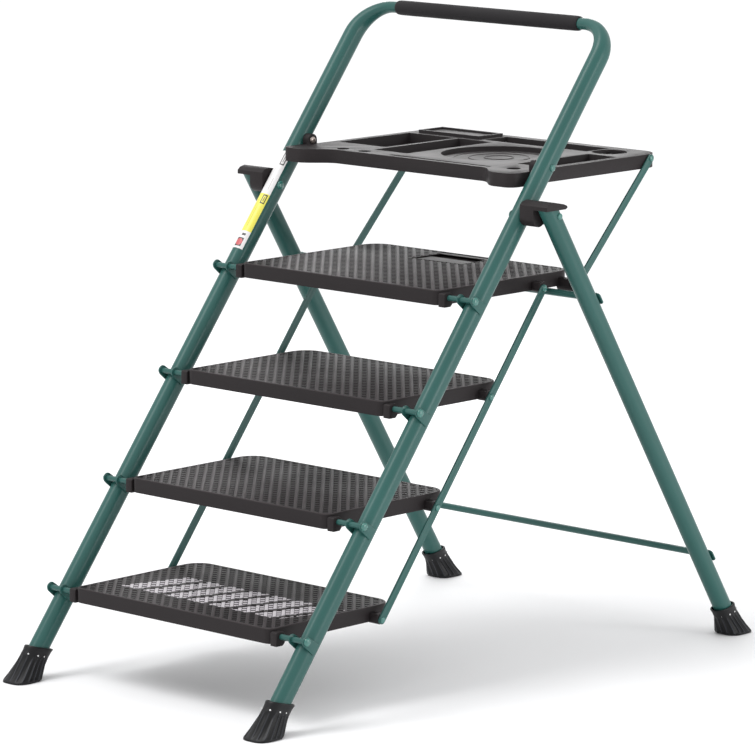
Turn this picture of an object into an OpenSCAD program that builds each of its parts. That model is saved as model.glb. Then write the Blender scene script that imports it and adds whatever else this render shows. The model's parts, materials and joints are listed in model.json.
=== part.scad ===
// Platform step ladder: a front frame with four treads and a tool tray, a rear frame
// that folds in behind it, and link bars that make the treads and the tray fold together.
// X runs across the treads, -Y is the climbing side, Z is up, and the floor is z = 0.

/* [Overall] */
// height from one tread to the next
rise = 200; // [170:1:240]
// height of the lowest tread's axle above the floor
first_rise = 173; // [150:1:200]
// lean of the front frame from the vertical, in degrees
front_tilt = 38; // [30:0.5:42]
// lean of the rear frame from the vertical, in degrees
rear_tilt = 32; // [26:0.5:36]
// centre plane to the centre line of a front rail
rail_x = 338; // [320:1:380]
// centre plane to the centre line of a rear leg
leg_x = 408; // [395:1:450]
// height of the hinge between the two frames
hinge_z = 925; // [880:1:980]
// height of the hand rail's centre line
bow_z = 1277; // [1150:1:1400]

/* [Tubes] */
// depth of a front rail's flat-oval tube, square to the frame
rail_d = 42; // [36:0.5:50]
// width of a front rail's tube
rail_w = 34; // [26:0.5:38]
// depth of a rear leg's flat-oval tube
leg_d = 40; // [34:0.5:48]
// width of a rear leg's tube
leg_w = 33; // [26:0.5:38]
// wall of the steel tubes
wall = 1.8; // [1.2:0.1:3]
// diameter of the hand rail's bar
bar_dia = 24; // [20:0.5:30]
// radius of the bend from a rail into the hand rail
bow_r = 75; // [60:1:100]
// outside diameter of the foam grip
grip_dia = 31; // [28:0.5:38]
// length of the foam grip
grip_len = 500; // [400:5:520]
// diameter of the rear cross bars
cross_dia = 14; // [12:0.5:18]
// height of the lower rear cross bar
low_bar_z = 175; // [140:1:300]

/* [Treads] */
// width of a tread
tread_w = 549; // [500:1:560]
// depth of a tread, front to back
tread_depth = 345; // [320:1:360]
// depth of the top platform, front to back
platform_depth = 400; // [380:1:410]
// how far a tread's front edge stands ahead of its axle
tread_front = 14; // [12:0.5:20]
// height of the tread's surface above its axle
tread_top = 14; // [12:0.5:18]
// height of a tread's skirt, ribs included
tread_h = 30; // [26:0.5:36]
// wall of the moulded treads and tray
skin = 3; // [2.5:0.1:4]
// spacing of the slanting grip ribs on each tread
rib_pitch = 17; // [14:0.5:24]
// width of a grip rib
rib_w = 9; // [5:0.5:12]
// diameter of a tread's axle rod
axle_dia = 11; // [9:0.5:12]
// how far the axles stand in front of the rail's centre line
pivot_off = 28; // [28:0.5:34]

/* [Links] */
// axle to link pin, measured back
link_back = 268; // [250:1:290]
// link pin's height below the axle
link_drop = 10; // [8:0.5:12]
// axle to the upper link's pin, measured back
upper_back = 349; // [330:1:360]
// upper link pin's height below the axle
upper_drop = 16; // [12:0.5:20]
// diameter of the link pins
pin_dia = 8; // [6:0.5:9]
// width of a link bar
link_w = 16; // [14:0.5:20]
// thickness of a link bar
link_t = 4; // [3:0.5:5]

/* [Tray] */
// height of the tray's pivots
tray_pz = 1013; // [980:1:1040]
// how far the tray's pivots sit behind the rail's centre line
tray_back = 4; // [0:0.5:8]
// tray width
tray_w = 619; // [580:1:625]
// tray depth behind its straight front edge
tray_depth = 425; // [400:1:440]
// tray skirt height
tray_h = 28; // [24:1:32]
// pivot to the tray's straight front edge
tray_front = 36; // [30:1:50]
// how far the tray's surface lies below its pivots
tray_low = 8; // [6:0.5:10]

/* [Fits] */
// radial clearance of pins and axles in their holes
run = 0.05; // [0.02:0.01:0.1]
// clearance between pieces that are pressed or stacked together
seat = 0.15; // [0.1:0.05:0.25]

/* [Hidden] */
$fn = 48;
green = [0.20, 0.42, 0.40];
black = [0.17, 0.16, 0.17];
dark = [0.10, 0.10, 0.11];
steel = [0.45, 0.66, 0.62];
hinge_off = 4;      // hinge axis ahead of the rail's centre line
leg_off = 15.6;     // leg's centre line behind the hinge axis
reach_f = tan(front_tilt) * hinge_z - hinge_off / cos(front_tilt);
reach_r = tan(rear_tilt) * hinge_z + leg_off / cos(rear_tilt);
hinge_y = (reach_f - reach_r) / 2;
base = (reach_f + reach_r) / 2;
rib_turn = 43.5;    // turn of the grip ribs from straight back
rib_n = ceil(0.6 * tread_w / rib_pitch);  // grip ribs on each side of the middle
foot_l = 72;        // length of a foot on the floor
foot_w = 66;        // width of a foot on the floor
foot_in = 22;       // how far along the tube the foot's socket starts
foot_top = 64;      // how far along the tube the foot ends
lug_t = 3;
lug_r = 10.5;
leg_cut = hinge_z + 16.7;
s_top = bow_z / cos(front_tilt);
s_bow = s_top - bow_r;
// distance along and across the front rails of a point in side view
function along(y, z) = (y + base) * sin(front_tilt) + z * cos(front_tilt);
function across(y, z) = (y + base) * cos(front_tilt) - z * sin(front_tilt);
function step_z(i) = first_rise + i * rise;
function step_y(i) = -base + tan(front_tilt) * step_z(i) - pivot_off / cos(front_tilt);
tray_py = -base + tan(front_tilt) * tray_pz + tray_back / cos(front_tilt);
link_x = rail_x - rail_w / 2 - 22;              // centre of the lower link bars
upper_x = tray_w / 2 + 1.4 + link_t / 2;        // centre of the upper link bars
low_t = tread_top - tread_h;                    // tread's underside, from its axle
bar_z = step_z(3) + low_t - cross_dia / 2 - 0.1;
bar_q = leg_d / 2 + 0.2 + cross_dia / 2;
function leg_s(z) = (z - bar_q * sin(rear_tilt)) / cos(rear_tilt);
bar_y = base - leg_s(bar_z) * sin(rear_tilt) + bar_q * cos(rear_tilt);
clip_y = bar_y - step_y(3) + cross_dia / 2 + 1.2;  // clip behind the bar, from the axle
flap_y = clip_y - 32;                           // flap's hinge, from the platform's axle
flap_z = tread_top - 8;
flap_w = 130;

// ---- shared shapes ----
module at_rail(side) {
    translate([side * rail_x, -base, 0]) rotate([-front_tilt, 0, 0]) children();
}

module at_leg(side) {
    translate([side * leg_x, base, 0]) rotate([rear_tilt, 0, 0]) children();
}

module at_step(i) {
    translate([0, step_y(i), step_z(i)]) children();
}

// flat-oval section, long side along Y
module oval(d, w) {
    square([w, d - w], center = true);
    for (e = [-1, 1]) translate([0, e * (d - w) / 2]) circle(d = w);
}

// a bar along X between two x values, centred on y, z
module rod(x0, x1, r) {
    translate([min(x0, x1), 0, 0]) rotate([0, 90, 0]) cylinder(h = abs(x1 - x0), r = r);
}

// side-view outline (first axis Y, second axis Z) given thickness along X
module slab(x0, x1) {
    translate([min(x0, x1), 0, 0]) rotate([90, 0, 90])
        linear_extrude(abs(x1 - x0)) children();
}

// rounded rivet head standing on x = 0 and facing +X
module dome(r, h) {
    rotate([0, 90, 0]) rotate_extrude()
        polygon([[0, 0], [r, 0], [r, 0.25 * h], [0.88 * r, 0.6 * h],
                 [0.62 * r, 0.88 * h], [0.3 * r, h], [0, h]]);
}

// plan outline, front edge on y = 0, with separate front and rear corner radii
module plan(w, d, rf, rr) {
    translate([-w / 2, rf]) square([w, d - rf - rr]);
    translate([-w / 2 + rf, 0]) square([w - 2 * rf, rf + 1]);
    translate([-w / 2 + rr, d - rr - 1]) square([w - 2 * rr, rr + 1]);
    for (e = [-1, 1]) {
        translate([e * (w / 2 - rf), rf]) circle(r = rf);
        translate([e * (w / 2 - rr), d - rr]) circle(r = rr);
    }
}

// ---- front frame ----
module rail(side) {
    tp = across(tray_py, tray_pz);
    ts = along(tray_py, tray_pz);
    hp = across(hinge_y, hinge_z);
    hs = along(hinge_y, hinge_z);
    color(green) at_rail(side) difference() {
        union() {
            difference() {
                translate([0, 0, foot_in]) linear_extrude(s_bow - foot_in)
                    oval(rail_d, rail_w);
                translate([0, 0, foot_in - 1]) linear_extrude(s_bow - foot_in + 2)
                    oval(rail_d - 2 * wall, rail_w - 2 * wall);
            }
            // welded ears that carry the tread axles
            for (i = [0:3], e = [-1, 1]) {
                s = along(step_y(i), step_z(i));
                slab(e * (rail_w / 2 - 0.4), e * (rail_w / 2 + lug_t)) {
                    translate([-pivot_off, s]) circle(r = lug_r);
                    translate([-pivot_off, s - lug_r])
                        square([pivot_off + 3, 2 * lug_r]);
                }
            }
        }
        for (i = [0:3]) translate([0, -pivot_off, along(step_y(i), step_z(i))])
            rod(-40, 40, axle_dia / 2 + run);
        translate([0, tp, ts]) rod(-40, 40, pin_dia / 2 + run);
        translate([0, hp, hs]) rod(-40, 40, 6 + run);
    }
}

// bend from the flat-oval rail into the round bar
module bow_corner(side) {
    n = 8;
    color(green) at_rail(side) for (k = [0:n - 1]) hull() for (j = [k, k + 1]) {
        t = 90 * j / n;
        f = j / n;
        translate([-side * bow_r * (1 - cos(t)), 0, s_bow + bow_r * sin(t)])
            rotate([0, -side * t, 0]) translate([0, 0, j == 0 ? 0 : -0.4])
                linear_extrude(0.4)
                    oval(rail_d + (bar_dia + 0.2 - rail_d) * f,
                         rail_w + (bar_dia - rail_w) * f, $fn = 32);
    }
}

module bow_bar() {
    color(green) translate([0, -base + s_top * sin(front_tilt), bow_z]) difference() {
        rod(-rail_x + bow_r, rail_x - bow_r, bar_dia / 2);
        rod(-rail_x, rail_x, bar_dia / 2 - wall);
    }
}

module grip() {
    color(dark) translate([0, -base + s_top * sin(front_tilt), bow_z]) difference() {
        rod(-grip_len / 2, grip_len / 2, grip_dia / 2);
        rod(-grip_len, grip_len, bar_dia / 2 + seat);
    }
}

// flared rubber foot round a tube that leans by tilt and stands at y
module foot(x, y, tilt, d, w) {
    color(dark) difference() {
        union() {
            hull() {
                translate([x, y, 0]) linear_extrude(9) plan_centred(foot_w, foot_l, 12);
                translate([x, y, 0]) rotate([tilt, 0, 0]) translate([0, 0, foot_top - 14])
                    linear_extrude(2) oval(d + 5, w + 5, $fn = 32);
            }
            translate([x, y, 0]) rotate([tilt, 0, 0]) translate([0, 0, foot_top - 16])
                linear_extrude(16) oval(d + 9, w + 9);
        }
        translate([x, y, 0]) rotate([tilt, 0, 0]) translate([0, 0, foot_in - 0.2])
            linear_extrude(foot_top) oval(d + 2 * seat, w + 2 * seat);
        translate([x - 60, y - 90, -60]) cube([120, 180, 60]);
    }
}

module plan_centred(w, l, r) {
    translate([0, -l / 2]) plan(w, l, r, r, $fn = 32);
}

module foot_front(side) {
    foot(side * rail_x, -base, -front_tilt, rail_d, rail_w);
}

module foot_rear(side) {
    foot(side * leg_x, base, rear_tilt, leg_d, leg_w);
}

// thin strip stuck on the rounded front of the left rail
module label_strip() {
    s0 = along(step_y(3), step_z(3)) + 48;
    color([0.9, 0.9, 0.9]) at_rail(-1) translate([0, 0, s0]) linear_extrude(236)
        difference() {
            oval(rail_d + 1.4, rail_w + 1.4);
            oval(rail_d + 0.3, rail_w + 0.3);
            translate([-50, -14]) square([100, 60]);
        }
}

module hinge_pin(side) {
    x0 = rail_x - rail_w / 2;
    color(steel) translate([0, hinge_y, hinge_z]) mirror([side < 0 ? 1 : 0, 0, 0]) {
        rod(x0 - 0.2, leg_x - leg_w / 2 - 3, 6);
        translate([x0 - 0.2, 0, 0]) mirror([1, 0, 0]) dome(9, 4);
    }
}

module tray_pivot(side) {
    x1 = rail_x + rail_w / 2 + 0.2;
    x0 = tray_w / 2 - 4.8;
    color(steel) translate([0, tray_py, tray_pz]) mirror([side < 0 ? 1 : 0, 0, 0]) {
        rod(x0, x1, pin_dia / 2);
        translate([x1, 0, 0]) dome(7, 4);
        difference() {
            translate([x0, 0, 0]) mirror([1, 0, 0]) dome(7.5, 3.6);
            // crossed slots of the screw head
            for (a = [0, 90]) translate([x0 - 4, 0, 0]) rotate([a, 0, 0])
                cube([3, 1.4, 8], center = true);
        }
    }
}

// ---- rear frame ----
module leg(side) {
    color(green) difference() {
        at_leg(side) difference() {
            translate([0, 0, foot_in]) linear_extrude(hinge_z / cos(rear_tilt) + 60)
                oval(leg_d, leg_w);
            translate([0, 0, foot_in - 1]) linear_extrude(hinge_z / cos(rear_tilt) + 90)
                oval(leg_d - 2 * wall, leg_w - 2 * wall);
            // holes for the cross bars' rivets
            for (z = [bar_z, low_bar_z])
                translate([0, leg_d / 2 - 6, leg_s(z) + 9])
                    rotate([-90, 0, 0]) cylinder(h = 12, r = 3 + run);
        }
        // slanting top end, cut level
        translate([side * leg_x - 60, -60, leg_cut]) cube([120, 400, 200]);
        translate([side * leg_x, leg_rivet_y(), leg_rivet_z()]) rod(-40, 40, 3.5 + run);
    }
}

function leg_rivet_s() = (leg_cut - 16) / cos(rear_tilt);
function leg_rivet_y() = base - leg_rivet_s() * sin(rear_tilt) + 6 * cos(rear_tilt);
function leg_rivet_z() = leg_rivet_s() * cos(rear_tilt) + 6 * sin(rear_tilt);

module leg_rivet(side) {
    color(steel) translate([0, leg_rivet_y(), leg_rivet_z()])
        mirror([side < 0 ? 1 : 0, 0, 0]) {
            rod(leg_x - leg_w / 2 - 14, leg_x + leg_w / 2 + 0.2, 3.5);
            translate([leg_x + leg_w / 2 + 0.2, 0, 0]) dome(6.5, 3.4);
        }
}

// moulded hinge block between a rail and a rear leg, with a roof over the leg's end
module hinge_block(side) {
    yl = base - leg_cut * tan(rear_tilt);
    color(black) mirror([side < 0 ? 1 : 0, 0, 0]) difference() {
        union() {
            slab(rail_x + rail_w / 2 + 0.6, leg_x - leg_w / 2 - seat) {
                translate([hinge_y, hinge_z]) circle(r = 18);
                translate([hinge_y, hinge_z - 14])
                    square([leg_rivet_y() + 9 - hinge_y, leg_cut - hinge_z + 16]);
                translate([hinge_y - 18, hinge_z]) square([18, leg_cut - hinge_z + 2]);
            }
            slab(rail_x + rail_w / 2 + 0.6, leg_x + leg_w / 2 + 3)
                polygon([[hinge_y - 18, leg_cut + seat], [hinge_y - 18, leg_cut + 8],
                         [hinge_y - 11, leg_cut + 14], [hinge_y + 2, leg_cut + 17],
                         [yl + 24, leg_cut + 11], [yl + 34, leg_cut + 7],
                         [yl + 35, leg_cut + 3], [yl + 30, leg_cut + seat]]);
        }
        translate([0, hinge_y, hinge_z]) rod(rail_x, leg_x - leg_w / 2 - 2.5, 6 + run);
        translate([0, leg_rivet_y(), leg_rivet_z()])
            rod(leg_x - leg_w / 2 - 14.2, leg_x, 3.5 + run);
    }
}

// round cross bar with flattened ends on the legs' rear faces
module cross_bar(z) {
    xi = leg_x - leg_w / 2 - 6;
    color(green) translate([0, base, 0]) rotate([rear_tilt, 0, 0])
        translate([0, 0, leg_s(z)]) difference() {
            union() {
                translate([0, bar_q, 0]) rod(-xi, xi, cross_dia / 2);
                for (e = [-1, 1]) translate([e * (leg_x - 6), leg_d / 2 + 2.7, 4])
                    cube([38, 5, 26], center = true);
            }
            for (e = [-1, 1]) translate([e * leg_x, leg_d / 2 - 2, 9])
                rotate([-90, 0, 0]) cylinder(h = 20, r = 3 + run);
        }
}

module bar_rivet(side, z) {
    color(steel) at_leg(side) translate([0, 0, leg_s(z) + 9]) {
        rotate([0, 0, 90]) {
            rod(leg_d / 2 - 4, leg_d / 2 + 6, 3);
            translate([leg_d / 2 + 5.3, 0, 0]) dome(6.5, 3.4);
        }
    }
}

// ---- treads ----
// hollow moulded tread: deck, skirt, ribs on top and underneath, lugs at the corners
module tread_shell(d) {
    top = tread_top - 1.6;
    difference() {
        union() {
            translate([0, -tread_front, low_t]) linear_extrude(top - low_t)
                plan(tread_w, d, 18, 42);
            // raised grip ribs, running back and to the left
            intersection() {
                translate([0, -tread_front + 7, low_t]) linear_extrude(tread_h)
                    plan(tread_w - 14, d - 14, 14, 36);
                translate([0, d / 2 - tread_front, top - 0.5]) rotate([0, 0, rib_turn])
                    for (k = [-rib_n:rib_n]) translate([k * rib_pitch - rib_w / 2, -d, 0])
                        cube([rib_w, 2 * d, 2.1]);
            }
        }
        translate([0, -tread_front + skin, low_t - 1])
            linear_extrude(top - 4 - low_t + 1)
                plan(tread_w - 2 * skin, d - 2 * skin, 15, 39);
    }
    // ribs underneath
    for (x = [-184, -69.5, 69.5, 184]) translate([x - 1.5, -tread_front + 1, low_t + 1])
        cube([3, d - 2, top - 4 - low_t]);
    for (y = [70, 150]) translate([-tread_w / 2 + 1, y, low_t + 6])
        cube([tread_w - 2, 2.5, top - 9 - low_t]);
}

module tread_lugs() {
    for (e = [-1, 1]) {
        // front lugs round the axle
        slab(e * (tread_w / 2 - 1.5), e * (tread_w / 2 + 15)) {
            translate([-tread_front + 1, low_t - 2.5])
                square([tread_front + 10, tread_h - 9]);
        }
        slab(e * (tread_w / 2 - 12), e * (tread_w / 2 - 1)) circle(r = 9);
        // rear lugs round the link pin
        slab(e * (tread_w / 2 - 14), e * (link_x - link_t / 2 - 0.4)) {
            translate([link_back, -link_drop]) circle(r = 9);
            translate([link_back - 9, -link_drop]) square([18, 10]);
        }
    }
}

module rod_holes() {
    rod(-400, 400, axle_dia / 2 + run);
    translate([0, link_back, -link_drop]) rod(-400, 400, pin_dia / 2 + run);
}

module tread(i) {
    color(black) at_step(i) difference() {
        union() {
            tread_shell(tread_depth);
            tread_lugs();
        }
        rod_holes();
    }
}

module platform() {
    hx = flap_w / 2 + 1;
    color(black) at_step(3) difference() {
        union() {
            tread_shell(platform_depth);
            tread_lugs();
            for (e = [-1, 1]) {
                // lugs of the upper links
                slab(e * (tread_w / 2 - 14), e * (upper_x - link_t / 2 - 0.4)) {
                    translate([upper_back, -upper_drop]) circle(r = 9);
                    translate([upper_back - 9, -upper_drop]) square([18, 18]);
                }
                // clips behind the rear cross bar
                slab(e * (tread_w / 2 - 16), e * (tread_w / 2 - 1))
                    translate([clip_y, low_t - 13]) square([6, 20]);
            }
        }
        rod_holes();
        translate([0, upper_back, -upper_drop]) {
            rod(tread_w / 2 - 10, 400, pin_dia / 2 + run);
            rod(-tread_w / 2 + 10, -400, pin_dia / 2 + run);
        }
        // opening for the release flap and the hand hold behind it
        translate([-hx, flap_y - 7, flap_z - 8]) cube([2 * hx, 78, 40]);
        translate([0, flap_y, flap_z]) rod(-hx - 8, hx + 8, 3 + run);
    }
}

module axle(i) {
    xe = rail_x + rail_w / 2 + lug_t + 2;
    color(green) at_step(i) rod(-xe, xe, axle_dia / 2);
}

module axle_head(i, side) {
    xe = rail_x + rail_w / 2 + lug_t;
    color(steel) at_step(i) mirror([side < 0 ? 1 : 0, 0, 0]) difference() {
        translate([xe + 0.3, 0, 0]) dome(9.5, 6);
        rod(xe, xe + 2.1, axle_dia / 2 + run);
    }
}

// rod under a tread that carries the link bars, riveted over at both ends
module link_pin(i) {
    xe = link_x + link_t / 2 + 0.3;
    color(steel) at_step(i) translate([0, link_back, -link_drop]) {
        rod(-xe, xe, pin_dia / 2);
        translate([xe, 0, 0]) dome(6.5, 3.4);
        translate([-xe, 0, 0]) mirror([1, 0, 0]) dome(6.5, 3.4);
    }
}

module end_pin(side, y, z, x0) {
    xe = upper_x + link_t / 2 + 0.3;
    color(steel) translate([0, y, z]) mirror([side < 0 ? 1 : 0, 0, 0]) {
        rod(x0, xe, pin_dia / 2);
        translate([xe, 0, 0]) dome(6, 2.6);
    }
}

module upper_pin(side) {
    end_pin(side, step_y(3) + upper_back, step_z(3) - upper_drop, tread_w / 2 - 9);
}

module tray_pin(side) {
    end_pin(side, tray_py + upper_back, tray_pz - upper_drop, tray_w / 2 - 13.5);
}

// ---- links ----
module link_lower(side) {
    pitch = rise / cos(front_tilt);
    color(green) translate([side * link_x, step_y(0) + link_back, step_z(0) - link_drop])
        rotate([-front_tilt, 0, 0]) slab(-link_t / 2, link_t / 2) difference() {
            union() {
                for (s = [0, 3 * pitch]) translate([0, s]) circle(d = link_w);
                translate([-link_w / 2, 0]) square([link_w, 3 * pitch]);
            }
            for (k = [0:3]) translate([0, k * pitch]) circle(r = pin_dia / 2 + run);
        }
}

module link_upper(side) {
    dy = tray_py - step_y(3);
    dz = tray_pz - step_z(3);
    len = sqrt(dy * dy + dz * dz);
    color(green) translate([side * upper_x, step_y(3) + upper_back,
                            step_z(3) - upper_drop])
        rotate([-atan2(dy, dz), 0, 0]) slab(-link_t / 2, link_t / 2) difference() {
            union() {
                for (s = [0, len]) translate([0, s]) circle(d = link_w);
                translate([-link_w / 2, 0]) square([link_w, len]);
            }
            for (s = [0, len]) translate([0, s]) circle(r = pin_dia / 2 + run);
        }
}

// ---- release flap in the platform ----
module release_flap() {
    color(black) at_step(3) translate([0, flap_y, flap_z]) difference() {
        union() {
            rod(-flap_w / 2, flap_w / 2, 5.5);
            translate([-flap_w / 2, 0, 1.5]) cube([flap_w, 44, 4]);
            // tail that stands behind the rear cross bar
            translate([-20, 33, -30]) cube([40, 4, 33]);
            for (x = [-20, 17]) translate([x, 10, -12]) cube([3, 25, 15]);
        }
        rod(-flap_w, flap_w, 3 + run);
    }
}

module flap_pin() {
    color(steel) at_step(3) translate([0, flap_y, flap_z])
        rod(-flap_w / 2 - 6, flap_w / 2 + 6, 3);
}

// ---- tool tray ----
// pockets: left, front, right, back and depth, from the centre plane and the pivot
pockets = [[-292, 66, -160, 278, 22], [-150, 20, -56, 278, 22],
           [216, 52, 292, 268, 22], [-96, 296, 186, 366, 12]];
dish = [78, 150, 118];

module tray_plan() {
    lobe = rail_x - rail_w / 2 - 24;
    translate([0, -tray_front]) plan(tray_w, tray_depth, 14, 48);
    // the front edge runs out into a round lobe at each corner in an S-curve
    for (e = [-1, 1]) polygon(concat(
        [for (t = [0:0.1:1]) [e * (lobe - 97 + 71 * t),
            -tray_front - (43 - tray_front + 36) * (1 - cos(180 * t)) / 2]],
        [for (a = [-90:10:0]) [e * (lobe + 21 * cos(a)), -58 + 21 * sin(a)]],
        [[e * (lobe + 21), -18], [e * (lobe - 97), -18]]));
}

module tray() {
    top = -tray_low;
    color(black) translate([0, tray_py, tray_pz]) difference() {
        union() {
            difference() {
                translate([0, 0, top - tray_h]) linear_extrude(tray_h) tray_plan();
                translate([0, -tray_front + skin, top - tray_h - 1])
                    linear_extrude(tray_h - 3)
                        plan(tray_w - 2 * skin, tray_depth - 2 * skin, 11, 45);
            }
            // pocket walls
            for (p = pockets) translate([p[0] - 2.5, p[1] - 2.5, top - p[4] - 3])
                cube([p[2] - p[0] + 5, p[3] - p[1] + 5, p[4]]);
            translate([dish[0], dish[1], top - 12]) cylinder(h = 11, r = dish[2] + 2.5);
            // raised corner box
            translate([-282, 296, top - 1]) cube([172, 74, 7]);
            // upright ears at the rails
            for (e = [-1, 1]) slab(e * (tray_w / 2 - 4.6), e * (rail_x - rail_w / 2 - 0.4)) {
                circle(r = 13);
                translate([-13, -tray_low - 3]) square([26, tray_low + 3]);
            }
            // bosses of the link pins
            for (e = [-1, 1]) slab(e * (tray_w / 2 - 18), e * (tray_w / 2 - 1)) {
                translate([upper_back, -upper_drop]) circle(r = 8);
                translate([upper_back - 8, -upper_drop]) square([16, 6]);
            }
        }
        for (p = pockets) translate([p[0], p[1], top - p[4]])
            cube([p[2] - p[0], p[3] - p[1], p[4] + 20]);
        translate([dish[0], dish[1], top - 9]) cylinder(h = 20, r = dish[2]);
        translate([-276, 302, top + 2]) cube([160, 62, 10]);
        // tool holes, slot and the round holder at the back
        for (h = [[-204, -14, 13], [-144, -12, 13], [262, -10, 14], [226, 322, 36]])
            translate([h[0], h[1], top - 60]) cylinder(h = 90, r = h[2]);
        translate([-66, -24, top - 60]) cube([274, 9, 90]);
        rod(-400, 400, pin_dia / 2 + run);
        translate([0, upper_back, -upper_drop]) {
            rod(tray_w / 2 - 14, 400, pin_dia / 2 + run);
            rod(-tray_w / 2 + 14, -400, pin_dia / 2 + run);
        }
    }
}

rail(-1);  // rail_left
rail(1);  // rail_right
bow_corner(-1);  // bow_corner_left
bow_corner(1);  // bow_corner_right
bow_bar();
grip();
foot_front(-1);  // foot_front_left
foot_front(1);  // foot_front_right
foot_rear(-1);  // foot_rear_left
foot_rear(1);  // foot_rear_right
label_strip();
hinge_pin(-1);  // hinge_pin_left
hinge_pin(1);  // hinge_pin_right
tray_pivot(-1);  // tray_pivot_left
tray_pivot(1);  // tray_pivot_right
leg(-1);  // leg_left
leg(1);  // leg_right
cross_bar(bar_z);  // cross_bar_upper
cross_bar(low_bar_z);  // cross_bar_lower
bar_rivet(-1, bar_z);  // bar_rivet_upper_left
bar_rivet(1, bar_z);  // bar_rivet_upper_right
bar_rivet(-1, low_bar_z);  // bar_rivet_lower_left
bar_rivet(1, low_bar_z);  // bar_rivet_lower_right
hinge_block(-1);  // hinge_block_left
hinge_block(1);  // hinge_block_right
leg_rivet(-1);  // leg_rivet_left
leg_rivet(1);  // leg_rivet_right
tread(0);  // tread_1
tread(1);  // tread_2
tread(2);  // tread_3
platform();
axle(0);  // axle_1
axle(1);  // axle_2
axle(2);  // axle_3
axle(3);  // axle_4
axle_head(0, -1);  // axle_head_1_left
axle_head(0, 1);  // axle_head_1_right
axle_head(1, -1);  // axle_head_2_left
axle_head(1, 1);  // axle_head_2_right
axle_head(2, -1);  // axle_head_3_left
axle_head(2, 1);  // axle_head_3_right
axle_head(3, -1);  // axle_head_4_left
axle_head(3, 1);  // axle_head_4_right
link_pin(0);  // link_pin_1
link_pin(1);  // link_pin_2
link_pin(2);  // link_pin_3
link_pin(3);  // link_pin_4
upper_pin(-1);  // upper_pin_left
upper_pin(1);  // upper_pin_right
tray();
tray_pin(-1);  // tray_pin_left
tray_pin(1);  // tray_pin_right
link_lower(-1);  // link_lower_left
link_lower(1);  // link_lower_right
link_upper(-1);  // link_upper_left
link_upper(1);  // link_upper_right
release_flap();
flap_pin();
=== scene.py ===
# Looks of the platform step ladder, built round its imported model.
# Metres, Z up, climbing side at -Y, the floor at z = 0.
import json
from math import cos, hypot, pi, radians, sin, tan

import bmesh
import bpy
from mathutils import Matrix, Vector


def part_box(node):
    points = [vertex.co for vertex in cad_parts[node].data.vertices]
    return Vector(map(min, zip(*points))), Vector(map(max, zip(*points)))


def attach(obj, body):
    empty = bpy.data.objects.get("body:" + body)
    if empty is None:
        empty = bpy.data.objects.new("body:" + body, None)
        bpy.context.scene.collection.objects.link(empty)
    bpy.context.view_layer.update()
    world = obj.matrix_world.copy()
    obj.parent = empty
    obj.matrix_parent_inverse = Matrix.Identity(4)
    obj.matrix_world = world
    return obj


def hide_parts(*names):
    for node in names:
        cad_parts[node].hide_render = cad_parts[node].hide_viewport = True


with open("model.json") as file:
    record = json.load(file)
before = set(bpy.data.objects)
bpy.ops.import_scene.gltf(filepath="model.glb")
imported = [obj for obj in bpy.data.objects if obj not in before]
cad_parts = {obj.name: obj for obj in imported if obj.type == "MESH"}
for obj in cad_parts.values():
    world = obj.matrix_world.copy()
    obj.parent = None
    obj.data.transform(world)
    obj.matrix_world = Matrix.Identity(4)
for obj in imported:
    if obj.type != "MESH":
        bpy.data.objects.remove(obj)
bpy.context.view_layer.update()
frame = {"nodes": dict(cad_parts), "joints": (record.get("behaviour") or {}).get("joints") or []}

# --- Front hoop ---
# One length of flat-oval steel tube, bent over at the top into a round hand
# rail and powder coated teal green. It carries the treads, the tray and the
# hinges, and its two lower ends stand in rubber feet.
MM = 0.001
FRONT_TILT = radians(38)
# from the origin to where the rails' centre lines, and the legs', meet the floor
FLOOR_Y = 657.006 * MM
RAIL_X = 338 * MM
RAIL_DEPTH, RAIL_WIDTH = 42 * MM, 34 * MM
HAND_RAIL = 24 * MM
HAND_RAIL_Z = 1277 * MM
RAIL_BOTTOM = 22 * MM
BEND_RADIUS = 75 * MM
HOOP_TOP = HAND_RAIL_Z / cos(FRONT_TILT)
BEND_START = HOOP_TOP - BEND_RADIUS
ACROSS = Vector((1, 0, 0))
RAIL_UP = Vector((0, sin(FRONT_TILT), cos(FRONT_TILT)))
RAIL_BACK = Vector((0, cos(FRONT_TILT), -sin(FRONT_TILT)))


def on_front(x, back, up):
    """Point in the slanting plane of the front frame."""
    return Vector((x, -FLOOR_Y, 0)) + RAIL_BACK * back + RAIL_UP * up


def flat_oval(width, depth, steps=14):
    """Outline of a flat-oval section, its long side on the second axis."""
    radius, straight = width / 2, max(depth - width, 0) / 2
    points = []
    for side in (1, -1):
        for k in range(steps + 1):
            turn = pi * k / steps
            points.append((side * radius * cos(turn),
                           side * (straight + radius * sin(turn))))
    return points


def new_piece(name, data):
    """An object in the scene, for a mesh, a lamp or the camera."""
    piece = bpy.data.objects.new(name, data)
    bpy.context.scene.collection.objects.link(piece)
    return piece


def piece_from(bm, name):
    """bm as a named object, as it is."""
    mesh = bpy.data.meshes.new(name)
    bm.to_mesh(mesh)
    bm.free()
    return new_piece(name, mesh)


def scrap(*pieces):
    """Removes helpers that aren't part of the object."""
    for piece in pieces:
        bpy.data.objects.remove(piece)


def finish_mesh(bm, name, sharp=35):
    """bm as a named object, smooth except over edges sharper than the angle."""
    bmesh.ops.recalc_face_normals(bm, faces=bm.faces)
    piece = piece_from(bm, name)
    piece.data.shade_smooth()
    piece.data.set_sharp_from_angle(angle=radians(sharp))
    return piece


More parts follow.
